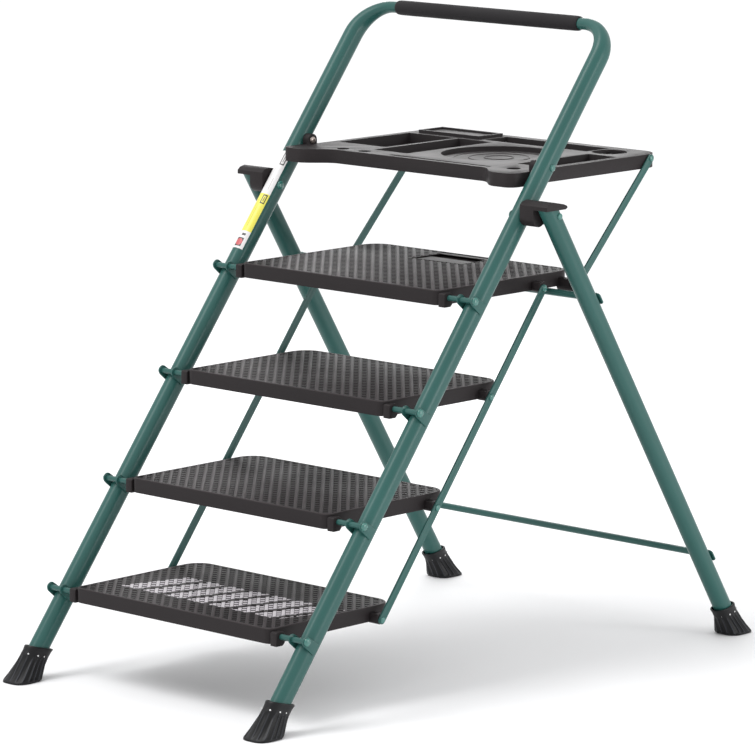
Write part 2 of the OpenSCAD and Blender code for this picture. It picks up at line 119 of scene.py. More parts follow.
def loft(bm, rings, closed_ends=True):
    """Faces between rings of as many points each, and over the two ends."""
    loops = [[bm.verts.new(p) for p in ring] for ring in rings]
    count = len(loops[0])
    for low, high in zip(loops, loops[1:]):
        for i in range(count):
            j = (i + 1) % count
            bm.faces.new((low[i], low[j], high[j], high[i]))
    if closed_ends:
        bm.faces.new(loops[0][::-1])
        bm.faces.new(loops[-1])
    return loops


def settle(piece, body, slot, material, *nodes):
    """The finished piece gets its material and its body; slot is not used."""
    piece.data.materials.clear()
    piece.data.materials.append(material)
    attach(piece, body)
    if nodes:
        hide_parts(*nodes)
    return piece


def feed(tree, node, inputs):
    """Links each input of a node to the socket given for it, or sets its value."""
    for key, value in inputs.items():
        if isinstance(value, bpy.types.NodeSocket):
            tree.links.new(value, node.inputs[key])
        else:
            node.inputs[key].default_value = value


def wired(tree, kind, inputs=(), **settings):
    """A new node with its settings made and its inputs fed."""
    node = tree.nodes.new(kind)
    for name, value in settings.items():
        setattr(node, name, value)
    feed(tree, node, dict(inputs))
    return node


def reckoned(tree, operation, *terms):
    """The result of one Math node."""
    return wired(tree, "ShaderNodeMath", enumerate(terms), operation=operation).outputs[0]


def mixed(tree, share, under, over):
    """One colour laid over another by a share."""
    return wired(tree, "ShaderNodeMix", {0: share, 6: under, 7: over}, data_type="RGBA").outputs[2]


def object_noise(tree, **inputs):
    """Noise over a piece's Object coordinates."""
    place = wired(tree, "ShaderNodeTexCoord").outputs["Object"]
    return wired(tree, "ShaderNodeTexNoise", {"Vector": place, **inputs}).outputs["Fac"]


def map_range(tree, value, **ends):
    """A value carried from one range to another."""
    ends = {name.replace("_", " "): end for name, end in ends.items()}
    return wired(tree, "ShaderNodeMapRange", {"Value": value, **ends}).outputs["Result"]


def bumped(tree, height, strength):
    """The normal of a fine bump of a given height pattern."""
    inputs = {"Height": height, "Strength": strength, "Distance": 0.3 * MM}
    return wired(tree, "ShaderNodeBump", inputs).outputs["Normal"]


def scaled(tree, colour, factor):
    """A colour made lighter or darker."""
    inputs = {0: colour, "Scale": factor}
    return wired(tree, "ShaderNodeVectorMath", inputs, operation="SCALE").outputs[0]


def new_tree(name, kind, inputs, outputs):
    """An empty node group with named sockets, and the sockets that its nodes start from."""
    tree = bpy.data.node_groups.new(name, kind)
    for label, socket_kind, *value in inputs:
        socket = tree.interface.new_socket(name=label, in_out="INPUT", socket_type=socket_kind)
        if value:
            socket.default_value = value[0]
    for label, socket_kind in outputs:
        tree.interface.new_socket(name=label, in_out="OUTPUT", socket_type=socket_kind)
    return tree, tree.nodes.new("NodeGroupInput").outputs


def new_material(name):
    """A material with its node tree and its Principled shader."""
    material = bpy.data.materials.new(name)
    material.use_nodes = True
    return material, material.node_tree, material.node_tree.nodes["Principled BSDF"]


FLOAT, COLOUR, VECTOR = "NodeSocketFloat", "NodeSocketColor", "NodeSocketVector"


def make_surface_grain():
    """Fine bumps and cloudy shade over any hard surface, from Object coordinates."""
    group, entry = new_tree(
        "surface_grain", "ShaderNodeTree",
        [("Colour", COLOUR, (0.5, 0.5, 0.5, 1)), ("Worn Colour", COLOUR, (0.6, 0.6, 0.6, 1)),
         ("Cloud Scale", FLOAT, 7.0), ("Cloud Amount", FLOAT, 0.12),
         ("Grain Scale", FLOAT, 900.0), ("Grain Depth", FLOAT, 0.1),
         ("Scuff Amount", FLOAT, 0.3), ("Roughness", FLOAT, 0.4)],
        [("Colour", COLOUR), ("Roughness", FLOAT), ("Normal", VECTOR)])
    clouds = object_noise(group, Scale=entry["Cloud Scale"], Detail=4)
    shade = map_range(group, clouds, From_Min=0.3, From_Max=0.7,
                      To_Min=reckoned(group, "SUBTRACT", 1, entry["Cloud Amount"]),
                      To_Max=reckoned(group, "ADD", 1, entry["Cloud Amount"]))
    scuffs = object_noise(group, Scale=60, Detail=8, Roughness=0.7)
    mask = map_range(group, scuffs, From_Min=0.62, From_Max=0.78)
    worn = reckoned(group, "MULTIPLY", mask, entry["Scuff Amount"])
    dull = reckoned(group, "MULTIPLY_ADD", worn, 0.25, entry["Roughness"])
    grain = object_noise(group, Scale=entry["Grain Scale"], Detail=2)
    wired(group, "NodeGroupOutput", {
        "Colour": mixed(group, worn, scaled(group, entry["Colour"], shade), entry["Worn Colour"]),
        "Roughness": reckoned(group, "MULTIPLY", dull, shade),
        "Normal": bumped(group, grain, entry["Grain Depth"])})
    return group


SURFACE_GRAIN = make_surface_grain()


def grained_material(name, colour, worn, clouds, grain, scuffs, roughness, coat=(0, 0.1),
                     specular=0.5, sheen=0):
    """Principled surface whose colour, roughness and bumps come from the grain group."""
    material, tree, shader = new_material(name)
    surface = wired(tree, "ShaderNodeGroup", {
        "Colour": (*colour, 1), "Worn Colour": (*worn, 1), "Cloud Scale": clouds[0],
        "Cloud Amount": clouds[1], "Grain Scale": grain[0], "Grain Depth": grain[1],
        "Scuff Amount": scuffs, "Roughness": roughness}, node_tree=SURFACE_GRAIN).outputs
    feed(tree, shader, {
        "Specular IOR Level": specular, "Coat Weight": coat[0], "Coat Roughness": coat[1],
        "Sheen Weight": sheen, "Base Color": surface["Colour"],
        "Roughness": surface["Roughness"], "Normal": surface["Normal"]})
    return material


POWDER_COAT = grained_material(
    "teal_powder_coat", (0.022, 0.096, 0.085), (0.04, 0.135, 0.12), clouds=(5, 0.06),
    grain=(1300, 0.12), scuffs=0.25, roughness=0.36,
    coat=(0.12, 0.22), specular=0.3)


def hoop_stations():
    """Stations from the left foot, over the hand rail, to the right foot."""
    stations = []
    for k in range(7):
        up = RAIL_BOTTOM + (BEND_START - RAIL_BOTTOM) * k / 7
        stations.append((on_front(-RAIL_X, 0, up), ACROSS, RAIL_WIDTH, RAIL_DEPTH))
    for side, turns in ((-1, range(0, 91, 6)), (1, range(90, 181, 6))):
        for degrees in turns:
            turn = radians(degrees)
            round_off = min(degrees, 180 - degrees) / 90
            round_off = round_off * round_off * (3 - 2 * round_off)
            x = side * (RAIL_X - BEND_RADIUS) - BEND_RADIUS * cos(turn)
            centre = on_front(x, 0, BEND_START + BEND_RADIUS * sin(turn))
            across = ACROSS * cos(turn) - RAIL_UP * sin(turn)
            stations.append((centre, across,
                             RAIL_WIDTH + (HAND_RAIL - RAIL_WIDTH) * round_off,
                             RAIL_DEPTH + (HAND_RAIL - RAIL_DEPTH) * round_off))
    for k in range(7):
        up = BEND_START - (BEND_START - RAIL_BOTTOM) * (k + 1) / 7
        stations.append((on_front(RAIL_X, 0, up), -ACROSS, RAIL_WIDTH, RAIL_DEPTH))
    return stations


bm = bmesh.new()
loft(bm, [[centre + across * u + RAIL_BACK * v for u, v in flat_oval(width, depth)]
          for centre, across, width, depth in hoop_stations()])
hoop = finish_mesh(bm, "front_hoop", 60)
settle(hoop, "front_frame", "green_paint", POWDER_COAT,
       "rail_left", "rail_right", "bow_corner_left", "bow_corner_right", "bow_bar")

# --- Axle ears ---
# Pressed steel ears, welded in pairs to both faces of each rail and painted
# with it. Each pair carries one end of a tread's axle ahead of the rail.
STEP_RISE, FIRST_RISE = 200 * MM, 173 * MM
AXLE_AHEAD = 28 * MM
EAR_RADIUS, EAR_THICK, EAR_SINK = 10.5 * MM, 3 * MM, 4 * MM


def step_height(i):
    """Height of tread i's axle."""
    return FIRST_RISE + i * STEP_RISE


def step_y(i):
    """Tread i's axle from front to back."""
    return (-FLOOR_Y + tan(FRONT_TILT) * step_height(i)
            - AXLE_AHEAD / cos(FRONT_TILT))


def up_the_rail(y, z):
    """How far up the rail's centre line a point lies."""
    return (y + FLOOR_Y) * sin(FRONT_TILT) + z * cos(FRONT_TILT)


def plain_mesh(piece):
    """The evaluated piece as a plain mesh, its modifiers and helpers gone."""
    depsgraph = bpy.context.evaluated_depsgraph_get()
    mesh = bpy.data.meshes.new_from_object(piece.evaluated_get(depsgraph),
                                           depsgraph=depsgraph)
    piece.modifiers.clear()
    piece.data = mesh
    return piece


GEOMETRY, OBJECT, MATERIAL = "NodeSocketGeometry", "NodeSocketObject", "NodeSocketMaterial"


def end_geometry(tree, geometry, finish):
    """Ends a geometry tree with real faces and their material."""
    whole = wired(tree, "GeometryNodeRealizeInstances", {"Geometry": geometry})
    paint = wired(tree, "GeometryNodeSetMaterial",
                  {"Geometry": whole.outputs["Geometry"], "Material": finish})
    wired(tree, "NodeGroupOutput", {"Geometry": paint.outputs["Geometry"]})


def attribute_vector(tree, name):
    """A vector that the points carry."""
    return wired(tree, "GeometryNodeInputNamedAttribute", {"Name": name},
                 data_type="FLOAT_VECTOR").outputs["Attribute"]


def make_set_of_parts():
    """Geometry nodes that set one part at every point, its Z along the point's axis."""
    tree, entry = new_tree(
        "set_of_parts", "GeometryNodeTree",
        [("Points", GEOMETRY), ("Part", OBJECT), ("Size", FLOAT), ("Finish", MATERIAL)],
        [("Geometry", GEOMETRY)])
    part = wired(tree, "GeometryNodeObjectInfo", {"Object": entry["Part"]})
    turn = wired(tree, "FunctionNodeAlignRotationToVector",
                 {"Vector": attribute_vector(tree, "axis")}, axis="Z")
    place = wired(tree, "GeometryNodeInstanceOnPoints",
                  {"Points": entry["Points"], "Instance": part.outputs["Geometry"],
                   "Rotation": turn.outputs["Rotation"], "Scale": entry["Size"]})
    end_geometry(tree, place.outputs["Instances"], entry["Finish"])
    return tree


SET_OF_PARTS = make_set_of_parts()


def set_inputs(modifier, **values):
    """Gives a geometry nodes modifier its named inputs by their identifiers."""
    for item in modifier.node_group.interface.items_tree:
        key = item.name.replace(" ", "_")
        if item.item_type == "SOCKET" and item.in_out == "INPUT" and key in values:
            modifier[item.identifier] = values[key]


def set_parts(name, part, places, material, size=1.0):
    """One object with a copy of part at each (place, axis)."""
    mesh = bpy.data.meshes.new(name)
    mesh.from_pydata([tuple(place) for place, axis in places], [], [])
    layer = mesh.attributes.new("axis", "FLOAT_VECTOR", "POINT")
    for k, (place, axis) in enumerate(places):
        layer.data[k].vector = axis
    piece = new_piece(name, mesh)
    modifier = piece.modifiers.new("set", "NODES")
    modifier.node_group = SET_OF_PARTS
    set_inputs(modifier, Part=part, Size=size, Finish=material)
    plain_mesh(piece)
    piece.data.attributes.remove(piece.data.attributes["axis"])
    return piece


def bevelled(piece, width, segments=2, angle=30):
    """Rounds the edges of a finished solid and keeps the result."""
    modifier = piece.modifiers.new("round", "BEVEL")
    modifier.width, modifier.segments = width, segments
    modifier.limit_method, modifier.angle_limit = "ANGLE", radians(angle)
    modifier.harden_normals = False
    return plain_mesh(piece)


def plate(name, outline, thick, to_world, bevel, segments=2):
    """Flat solid from an outline of (a, b) points, laid out by to_world(a, b, c)."""
    bm = bmesh.new()
    loft(bm, [[to_world(a, b, c) for a, b in outline] for c in (-thick / 2, thick / 2)])
    piece = finish_mesh(bm, name, 30)
    bevelled(piece, bevel, segments, 40)
    piece.data.set_sharp_from_angle(angle=radians(30))
    return piece


ear_outline = [(-AXLE_AHEAD - EAR_RADIUS * sin(pi * k / 16),
                EAR_RADIUS * cos(pi * k / 16)) for k in range(17)]
ear_outline += [(EAR_SINK, -EAR_RADIUS - 1.5 * MM), (EAR_SINK, EAR_RADIUS + 1.5 * MM)]
ear = plate("ear_shape", ear_outline, EAR_THICK,
            lambda a, b, c: Vector((c, 0, 0)) + RAIL_BACK * a + RAIL_UP * b, 0.8 * MM)
ear_places = []
for i in range(4):
    up = up_the_rail(step_y(i), step_height(i))
    for side in (-1, 1):
        for face in (-1, 1):
            x = side * RAIL_X + face * (RAIL_WIDTH / 2 + EAR_THICK / 2 - 0.2 * MM)
            ear_places.append((on_front(x, 0, up), (0, 0, 1)))
ears = set_parts("axle_ears", ear, ear_places, POWDER_COAT)
scrap(ear)
settle(ears, "front_frame", "green_paint", POWDER_COAT)

# --- Rubber feet ---
# Moulded rubber boots pushed over the tube ends: a plain collar at the top, then
# a flared skirt of fine ribs that ends in a flat sole. Small pale dots at the
# collar are painted glints.
RUBBER = grained_material(
    "foot_rubber", (0.004, 0.0043, 0.0055), (0.018, 0.018, 0.02), clouds=(30, 0.2),
    grain=(1800, 0.2), scuffs=0.5, roughness=0.46, specular=0.3)


def make_relief_painted_light():
    """Painted highlight on raised tops and painted shade in hollows, from the relief that the mesh
    carries.
    """
    group, entry = new_tree(
        "relief_shade", "ShaderNodeTree",
        [("Colour", COLOUR, (0.1, 0.1, 0.1, 1)), ("Top Gain", FLOAT, 1.9),
         ("Hollow Gain", FLOAT, 0.4)], [("Colour", COLOUR)])
    relief = wired(group, "ShaderNodeAttribute", attribute_name="relief").outputs["Fac"]
    colour = entry["Colour"]
    # positive relief lightens the colour as a painted highlight, negative relief darkens it as painted
    # shade
    for sign, label in ((1, "Top Gain"), (-1, "Hollow Gain")):
        share = wired(group, "ShaderNodeMath", {0: relief, 1: sign}, operation="MULTIPLY",
                      use_clamp=True).outputs[0]
        colour = mixed(group, share, colour, scaled(group, colour, entry[label]))
    wired(group, "NodeGroupOutput", {"Colour": colour})
    return group


RELIEF_PAINTED_LIGHT = make_relief_painted_light()


def paint_light_by_relief(material, top=1.9, hollow=0.4):
    """Sends a material's colour through the painted highlight and shade of the relief."""
    tree = material.node_tree
    base = tree.nodes["Principled BSDF"].inputs["Base Color"]
    relief = wired(tree, "ShaderNodeGroup",
                   {"Colour": base.links[0].from_socket, "Top Gain": top, "Hollow Gain": hollow},
                   node_tree=RELIEF_PAINTED_LIGHT)
    tree.links.new(relief.outputs["Colour"], base)


# painted highlight lines on the rib peaks of the feet, painted shade in their valleys
paint_light_by_relief(RUBBER, top=9.0, hollow=0.5)
# a near-white finish for the painted glints on the collars
PAINTED_GLINT_DOT = grained_material(
    "pale_pip", (0.75, 0.75, 0.75), (0.5, 0.5, 0.5), clouds=(200, 0.08),
    grain=(2500, 0.15), scuffs=0.2, roughness=0.35)
LEG_X = 408 * MM
REAR_TILT = radians(32)
LEG_DEPTH, LEG_WIDTH = 40 * MM, 33 * MM
LEG_UP = Vector((0, -sin(REAR_TILT), cos(REAR_TILT)))
LEG_BACK = Vector((0, cos(REAR_TILT), sin(REAR_TILT)))
SOLE_WIDTH, SOLE_LENGTH = 66 * MM, 72 * MM
FOOT_TOP, FOOT_WALL = 62 * MM, 3.2 * MM
FOOT_RIBS, RIB_DEPTH = 16, 2.6 * MM
# the collar's rim leans this share of the way that a cut square to the tube would
COLLAR_DROOP = 0.35
# height share of the row of painted glint dots
GLINT_DOT_ROW = 0.735


def egg(turn, half_width, half_length, square):
    """Radius of a rounded-square outline at an angle, for given half sizes."""
    return (abs(cos(turn) / half_width) ** square
            + abs(sin(turn) / half_length) ** square) ** (-1 / square)


def collar_radius(turn, tilt, depth, width):
    """Level outline of the collar round a tube that leans by tilt."""
    return egg(turn, width / 2 + FOOT_WALL, depth / 2 / cos(tilt) + FOOT_WALL, 2.3)


def foot(name, x, y, up, tilt, depth, width):
    """One ribbed boot round a tube that leaves the floor at (x, y) along up."""
    count = FOOT_RIBS * 8
    # height share, outline share towards the collar, rib depth share, inset in millimetres
    rings = [(0.0, 0.0, 0.0, 3.4), (0.012, 0.0, 0.0, 1.4), (0.045, 0.01, 0.0, 0.3), (0.075, 0.03, 0.1, 0),
             (0.1, 0.06, 0.9, 0), (0.17, 0.15, 1, 0), (0.27, 0.3, 1, 0), (0.37, 0.46, 1, 0),
             (0.47, 0.61, 1, 0), (0.57, 0.75, 0.9, 0), (0.66, 0.86, 0.7, 0), (0.71, 0.92, 0.3, 0),
             (0.74, 0.97, 0, 0), (0.78, 1, 0, 0), (0.88, 1, 0, -0.3), (0.955, 1, 0, -1.3),
             (0.985, 1, 0, -1.2), (1.0, 1, 0, 0), (1.0, 1, 0, 1.6), (0.985, 1, 0, 2.4), (0.9, 1, 0, 2.6)]
    points, reliefs = [], []
    for height, share, ribs, inset in rings:
        centre = Vector((x, y, 0)) + up * (FOOT_TOP * height / cos(tilt))
        ring = []
        for k in range(count):
            turn = 2 * pi * k / count
            sole = egg(turn, SOLE_WIDTH / 2, SOLE_LENGTH / 2, 3.0)
            collar = collar_radius(turn, tilt, depth, width)
            ridge = max(0.0, cos(FOOT_RIBS * turn)) ** 1.3
            radius = (sole + (collar - sole) * share - inset * MM
                      - RIB_DEPTH * ribs * (1 - ridge))
            y_out = radius * sin(turn)
            droop = y_out * up.y / up.z * COLLAR_DROOP * max(0, share - 0.3) / 0.7
            ring.append(centre + Vector((radius * cos(turn), y_out, -droop)))
            # rib peaks get positive relief for a painted highlight, the valleys negative relief for
            # painted shade
            reliefs.append(ribs * (1.6 * ridge ** 3 - 0.6))
        points.append(ring)
    bm = bmesh.new()
    loft(bm, points)
    boot = finish_mesh(bm, name, 50)
    layer = boot.data.attributes.new("relief", "FLOAT", "POINT")
    layer.data.foreach_set("value", reliefs)
    return boot


FEET = (("foot_front_left", -1, True), ("foot_front_right", 1, True),
        ("foot_rear_left", -1, False), ("foot_rear_right", 1, False))


def turned(name, profile, steps=24, sharp=35):
    """Solid of revolution about Z from (radius, height) points in millimetres."""
    bm = bmesh.new()
    rings = []
    for radius, height in profile:
        turns = [2 * pi * k / steps for k in range(steps if radius else 1)]
        rings.append([bm.verts.new((radius * MM * cos(turn), radius * MM * sin(turn),
                                    height * MM)) for turn in turns])
    for low, high in zip(rings, rings[1:]):
        for k in range(steps):
            j = (k + 1) % steps
            if len(low) == 1:
                bm.faces.new((low[0], high[j], high[k]))
            elif len(high) == 1:
                bm.faces.new((low[k], low[j], high[0]))
            else:
                bm.faces.new((low[k], low[j], high[j], high[k]))
    return finish_mesh(bm, name, sharp)


# small pale domes on the collar that stand in for glints: painted glints
glint_dot = turned("pip_shape", [(0, -1.2), (1.7, -1.2), (1.7, 0.2), (1.3, 0.7), (0.6, 1.0), (0, 1.05)], 12)
for node, side, front in FEET:
    x = side * (RAIL_X if front else LEG_X)
    y = -FLOOR_Y if front else FLOOR_Y
    up, tilt = (RAIL_UP, FRONT_TILT) if front else (LEG_UP, REAR_TILT)
    depth, width = (RAIL_DEPTH, RAIL_WIDTH) if front else (LEG_DEPTH, LEG_WIDTH)
    body = "front_frame" if front else "rear_frame"
    boot = foot(node + "_boot", x, y, up, tilt, depth, width)
    settle(boot, body, "rubber", RUBBER, node)
    places = []
    for k in range(1, FOOT_RIBS, 2):
        turn = 2 * pi * k / FOOT_RIBS
        radius = collar_radius(turn, tilt, depth, width) + 0.2 * MM
        out = Vector((cos(turn), sin(turn), 0.1)).normalized()
        droop = radius * sin(turn) * up.y / up.z * COLLAR_DROOP
        places.append((Vector((x, y, -droop)) + up * (FOOT_TOP * GLINT_DOT_ROW / cos(tilt))
                       + out * radius, out))
    glint_dots = set_parts(node + "_pips", glint_dot, places, PAINTED_GLINT_DOT)
    settle(glint_dots, body, "rubber", PAINTED_GLINT_DOT)
scrap(glint_dot)

# --- Hand grip ---
# Closed-cell foam sleeve slid over the straight of the hand rail, with softly
# rounded ends. It swells a little between the ends, as pulled-on foam does.
FOAM = grained_material(
    "grip_foam", (0.015, 0.0135, 0.015), (0.03, 0.028, 0.03), clouds=(14, 0.14),
    grain=(1500, 0.55), scuffs=0.35, roughness=0.74,
    specular=0.22, sheen=0.05)
GRIP_LENGTH, GRIP_RADIUS, GRIP_HOLE = 500 * MM, 15.5 * MM, 12.15 * MM
bar_centre = on_front(0, 0, HOOP_TOP)
grip_rings = []
grip_profile = [(0.006, GRIP_HOLE), (0.0, GRIP_HOLE + 0.7 * MM), (0.0, 13.4 * MM),
                (0.0022, 14.6 * MM), (0.0065, 15.2 * MM), (0.014, 15.4 * MM)]
grip_profile += [(0.014 + (0.236 * k / 12), GRIP_RADIUS - 0.12 * MM * (1 + cos(k * 1.7)) / 2)
                 for k in range(1, 13)]
for mirror in (-1, 1):
    run = grip_profile if mirror < 0 else grip_profile[-2::-1]
    for inward, radius in run:
        x = mirror * (GRIP_LENGTH / 2 - inward)
        grip_rings.append([bar_centre + Vector((x, 0, 0))
                           + RAIL_UP * radius * cos(2 * pi * k / 40)
                           + RAIL_BACK * radius * sin(2 * pi * k / 40)
                           for k in range(40)])
bm = bmesh.new()
loops = loft(bm, grip_rings, closed_ends=False)
for k in range(40):
    j = (k + 1) % 40
    bm.faces.new((loops[0][j], loops[0][k], loops[-1][k], loops[-1][j]))
grip = finish_mesh(bm, "foam_grip", 50)
settle(grip, "front_frame", "foam", FOAM, "grip")

# --- Label strip ---
# Printed film stuck round the front of the left rail: white and yellow fields with
# plain frames, bars and a red disc. It carries no words.
LABEL_LENGTH = 236 * MM
LABEL_WRAP = radians(55)
label_start = up_the_rail(step_y(3), step_height(3)) + 48 * MM


def make_label_film():
    """White and yellow fields with frames, bars and a red disc, over the film's UV map."""
    material, tree, shader = new_material("label_film")
    where = wired(tree, "ShaderNodeUVMap", uv_map="label").outputs["UV"]
    across, along, level = wired(tree, "ShaderNodeSeparateXYZ", {0: where}).outputs

    def within(value, low, high):
        return reckoned(tree, "MULTIPLY", reckoned(tree, "GREATER_THAN", value, low),
                        reckoned(tree, "LESS_THAN", value, high))

    white, yellow, red = (0.78, 0.77, 0.77, 1), (0.80, 0.74, 0.10, 1), (0.55, 0.10, 0.11, 1)
    dark, faint = (0.03, 0.03, 0.03, 1), (0.60, 0.53, 0.08, 1)
    colour = mixed(tree, within(along, 0.175, 0.56), white, yellow)
    # shares across and along the film, and ink: two frames with a bar, five bars, two blocks
    for u0, u1, v0, v1, ink in (
            (0.60, 0.90, 0.86, 0.985, dark), (0.66, 0.84, 0.871, 0.974, (0.7, 0.69, 0.69, 1)),
            (0.73, 0.77, 0.89, 0.955, dark),
            (0.60, 0.90, 0.46, 0.55, dark), (0.66, 0.84, 0.471, 0.539, (0.72, 0.66, 0.12, 1)),
            (0.73, 0.77, 0.485, 0.525, dark),
            (0.44, 0.50, 0.60, 0.82, (0.62, 0.61, 0.6, 1)), (0.26, 0.32, 0.62, 0.84, (0.6, 0.58, 0.57, 1)),
            (0.66, 0.72, 0.60, 0.72, (0.5, 0.48, 0.47, 1)), (0.36, 0.42, 0.24, 0.50, faint),
            (0.52, 0.58, 0.22, 0.42, faint), (0.50, 0.76, 0.128, 0.15, dark),
            (0.30, 0.78, 0.02, 0.105, dark)):
        inside = reckoned(tree, "MULTIPLY", within(across, u0, u1), within(along, v0, v1))
        colour = mixed(tree, inside, colour, ink)
    slender = 7.0
    stretched = wired(tree, "ShaderNodeVectorMath", {0: where, 1: (1, slender, 0)}, operation="MULTIPLY")
    reach = wired(tree, "ShaderNodeVectorMath",
                  {0: stretched.outputs[0], 1: (0.54, 0.0625 * slender, 0)}, operation="DISTANCE")
    colour = mixed(tree, reckoned(tree, "LESS_THAN", reach.outputs["Value"], 0.24), colour, red)
    wrinkle = object_noise(tree, Scale=120)
    feed(tree, shader, {
        "Base Color": colour, "Coat Weight": 0.25, "Coat Roughness": 0.2,
        "Normal": bumped(tree, wrinkle, 0.15),
        "Roughness": map_range(tree, wrinkle, To_Min=0.3, To_Max=0.5)})
    return material


LABEL_FILM = make_label_film()
bm = bmesh.new()
uv_layer = bm.loops.layers.uv.new("label")
rows, columns = 24, 12
grid = {}
for layer, lift in ((0, 0.05 * MM), (1, 0.45 * MM)):
    for v in range(rows + 1):
        for u in range(columns + 1):
            turn = LABEL_WRAP * (2 * u / columns - 1)
            reach = RAIL_WIDTH / 2 + lift
            back = -(RAIL_DEPTH - RAIL_WIDTH) / 2 - reach * cos(turn)
            grid[layer, u, v] = bm.verts.new(on_front(
                -RAIL_X + reach * sin(turn), back, label_start + LABEL_LENGTH * v / rows))


def label_face(corners):
    face = bm.faces.new([grid[c] for c in corners])
    for loop, (layer, u, v) in zip(face.loops, corners):
        loop[uv_layer].uv = (u / columns, v / rows)


for v in range(rows):
    for u in range(columns):
        for layer in (0, 1):
            label_face([(layer, u, v), (layer, u + 1, v), (layer, u + 1, v + 1), (layer, u, v + 1)])
    for u in (0, columns):
        label_face([(0, u, v), (1, u, v), (1, u, v + 1), (0, u, v + 1)])
for u in range(columns):
    for v in (0, rows):
        label_face([(0, u, v), (0, u + 1, v), (1, u + 1, v), (1, u, v)])
label = finish_mesh(bm, "label_film", 60)
settle(label, "front_frame", "label", LABEL_FILM, "label_strip")

# --- Rear legs ---
# Two straight flat-oval tubes of the same steel, cut level at the top where the
# hinge blocks cap them, and pushed into rubber feet at the bottom.
HINGE_Z = 925 * MM
LEG_CUT = HINGE_Z + 16.7 * MM
SIDES = (("left", -1), ("right", 1))


def on_leg(x, back, up):
    """Point beside the centre line of a rear leg."""
    return Vector((x, FLOOR_Y, 0)) + LEG_BACK * back + LEG_UP * up


for name, side in SIDES:
    section = flat_oval(LEG_WIDTH, LEG_DEPTH)
    rings = [[on_leg(side * LEG_X + u, v, up) for u, v in section]
             for up in [(22 + 110 * k) * MM for k in range(10)]]
    rings.append([on_leg(side * LEG_X + u, v, (LEG_CUT - v * sin(REAR_TILT))
                         / cos(REAR_TILT)) for u, v in section])
    bm = bmesh.new()
    loft(bm, rings)
    leg = finish_mesh(bm, f"rear_leg_{name}", 60)
    settle(leg, "rear_frame", "green_paint", POWDER_COAT, f"leg_{name}")

# --- Rear cross bars ---
# Two round bars across the rear legs, their ends pressed flat and riveted to the
# rear faces of the legs, then painted with the frame.
BAR_RADIUS = 7 * MM
BAR_OFF = LEG_DEPTH / 2 + 0.2 * MM + BAR_RADIUS
PLATE_THICK, PLATE_TALL = 5 * MM, 26 * MM
UPPER_BAR_Z = step_height(3) - 16 * MM - BAR_RADIUS - 0.1 * MM
LOWER_BAR_Z = 175 * MM
# in millimetres from the centre plane: the round stretch, its flattening, the ends
BAR_ROUND, BAR_FLATTEN, BAR_CORNER, BAR_END = 350, 42, 417, 421


def up_the_leg(z):
    """How far up the leg's centre line a bar at a height is riveted."""
    return (z - BAR_OFF * sin(REAR_TILT)) / cos(REAR_TILT)


def ease(t):
    """From 0 to 1, level at both ends."""
    t = min(max(t, 0), 1)
    return t * t * (3 - 2 * t)


rivet_shape = turned("rivet_shape", [(0, -0.6), (6.5, -0.6), (6.5, 0.5), (6.3, 1.2), (5.6, 2.1),
                                     (4.3, 2.9), (2.6, 3.3), (0, 3.4)], 28)
RIVET_PAINT = grained_material(
    "painted_rivet", (0.04, 0.17, 0.145), (0.16, 0.36, 0.33), clouds=(60, 0.1),
    grain=(1500, 0.15), scuffs=0.5, roughness=0.22,
    coat=(0.5, 0.12))
for place_name, z in (("upper", UPPER_BAR_Z), ("lower", LOWER_BAR_Z)):
    up = up_the_leg(z)
    rings = []
    stops = [-BAR_END, -420.5, -BAR_CORNER, -408, -396, -390, -384, -378, -370, -360, -BAR_ROUND]
    stops += [-300 + 75 * k for k in range(9)] + [-s for s in stops[::-1]]
    for x in stops:
        flat = ease((abs(x) - BAR_ROUND) / BAR_FLATTEN)
        thick = 2 * BAR_RADIUS + (PLATE_THICK - 2 * BAR_RADIUS) * flat
        tall = 2 * BAR_RADIUS + (PLATE_TALL - 2 * BAR_RADIUS) * flat
        past = max(abs(x) - BAR_CORNER, 0)
        tall, thick = tall - past * 1.6 * MM, thick - past * 0.5 * MM
        off = BAR_OFF + (LEG_DEPTH / 2 + 2.7 * MM - BAR_OFF) * flat
        rings.append([on_leg(x * MM, off + u, up + 4 * MM * flat + v)
                      for u, v in flat_oval(thick, tall, 8)])
    bm = bmesh.new()
    loft(bm, rings)
    bar = finish_mesh(bm, f"cross_bar_{place_name}_pressed", 50)
    settle(bar, "rear_frame", "green_paint", POWDER_COAT, f"cross_bar_{place_name}")
    rivets = set_parts(f"cross_bar_rivets_{place_name}", rivet_shape,
                       [(on_leg(side * LEG_X, LEG_DEPTH / 2 + 5.3 * MM, up + 9 * MM), LEG_BACK)
                        for side in (-1, 1)], RIVET_PAINT)
    settle(rivets, "rear_frame", "rivet", RIVET_PAINT,
           f"bar_rivet_{place_name}_left", f"bar_rivet_{place_name}_right")

# --- Hinge blocks ---
# Moulded black blocks between each rail and rear leg, with a sloping roof over the
# leg's cut end. A rivet through the leg and a pin through the rail hold each one.
MOULDED = grained_material(
    "moulded_plastic", (0.021, 0.0175, 0.0185), (0.05, 0.045, 0.045), clouds=(9, 0.1),
    grain=(1700, 0.3), scuffs=0.3, roughness=0.5, specular=0.16)


def rounded_copy(node, name, width, segments=2, angle=30):
    """A merged copy of a CAD node whose edges are rounded off."""
    bm = bmesh.new()
    bm.from_mesh(frame["nodes"][node].data)
    bmesh.ops.remove_doubles(bm, verts=bm.verts, dist=2e-6)
    bmesh.ops.dissolve_limit(bm, angle_limit=radians(0.6), verts=bm.verts, edges=bm.edges)
    piece = piece_from(bm, name)
    bevelled(piece, width, segments, angle)
    piece.data.shade_smooth()
    piece.data.set_sharp_from_angle(angle=radians(32))
    return piece


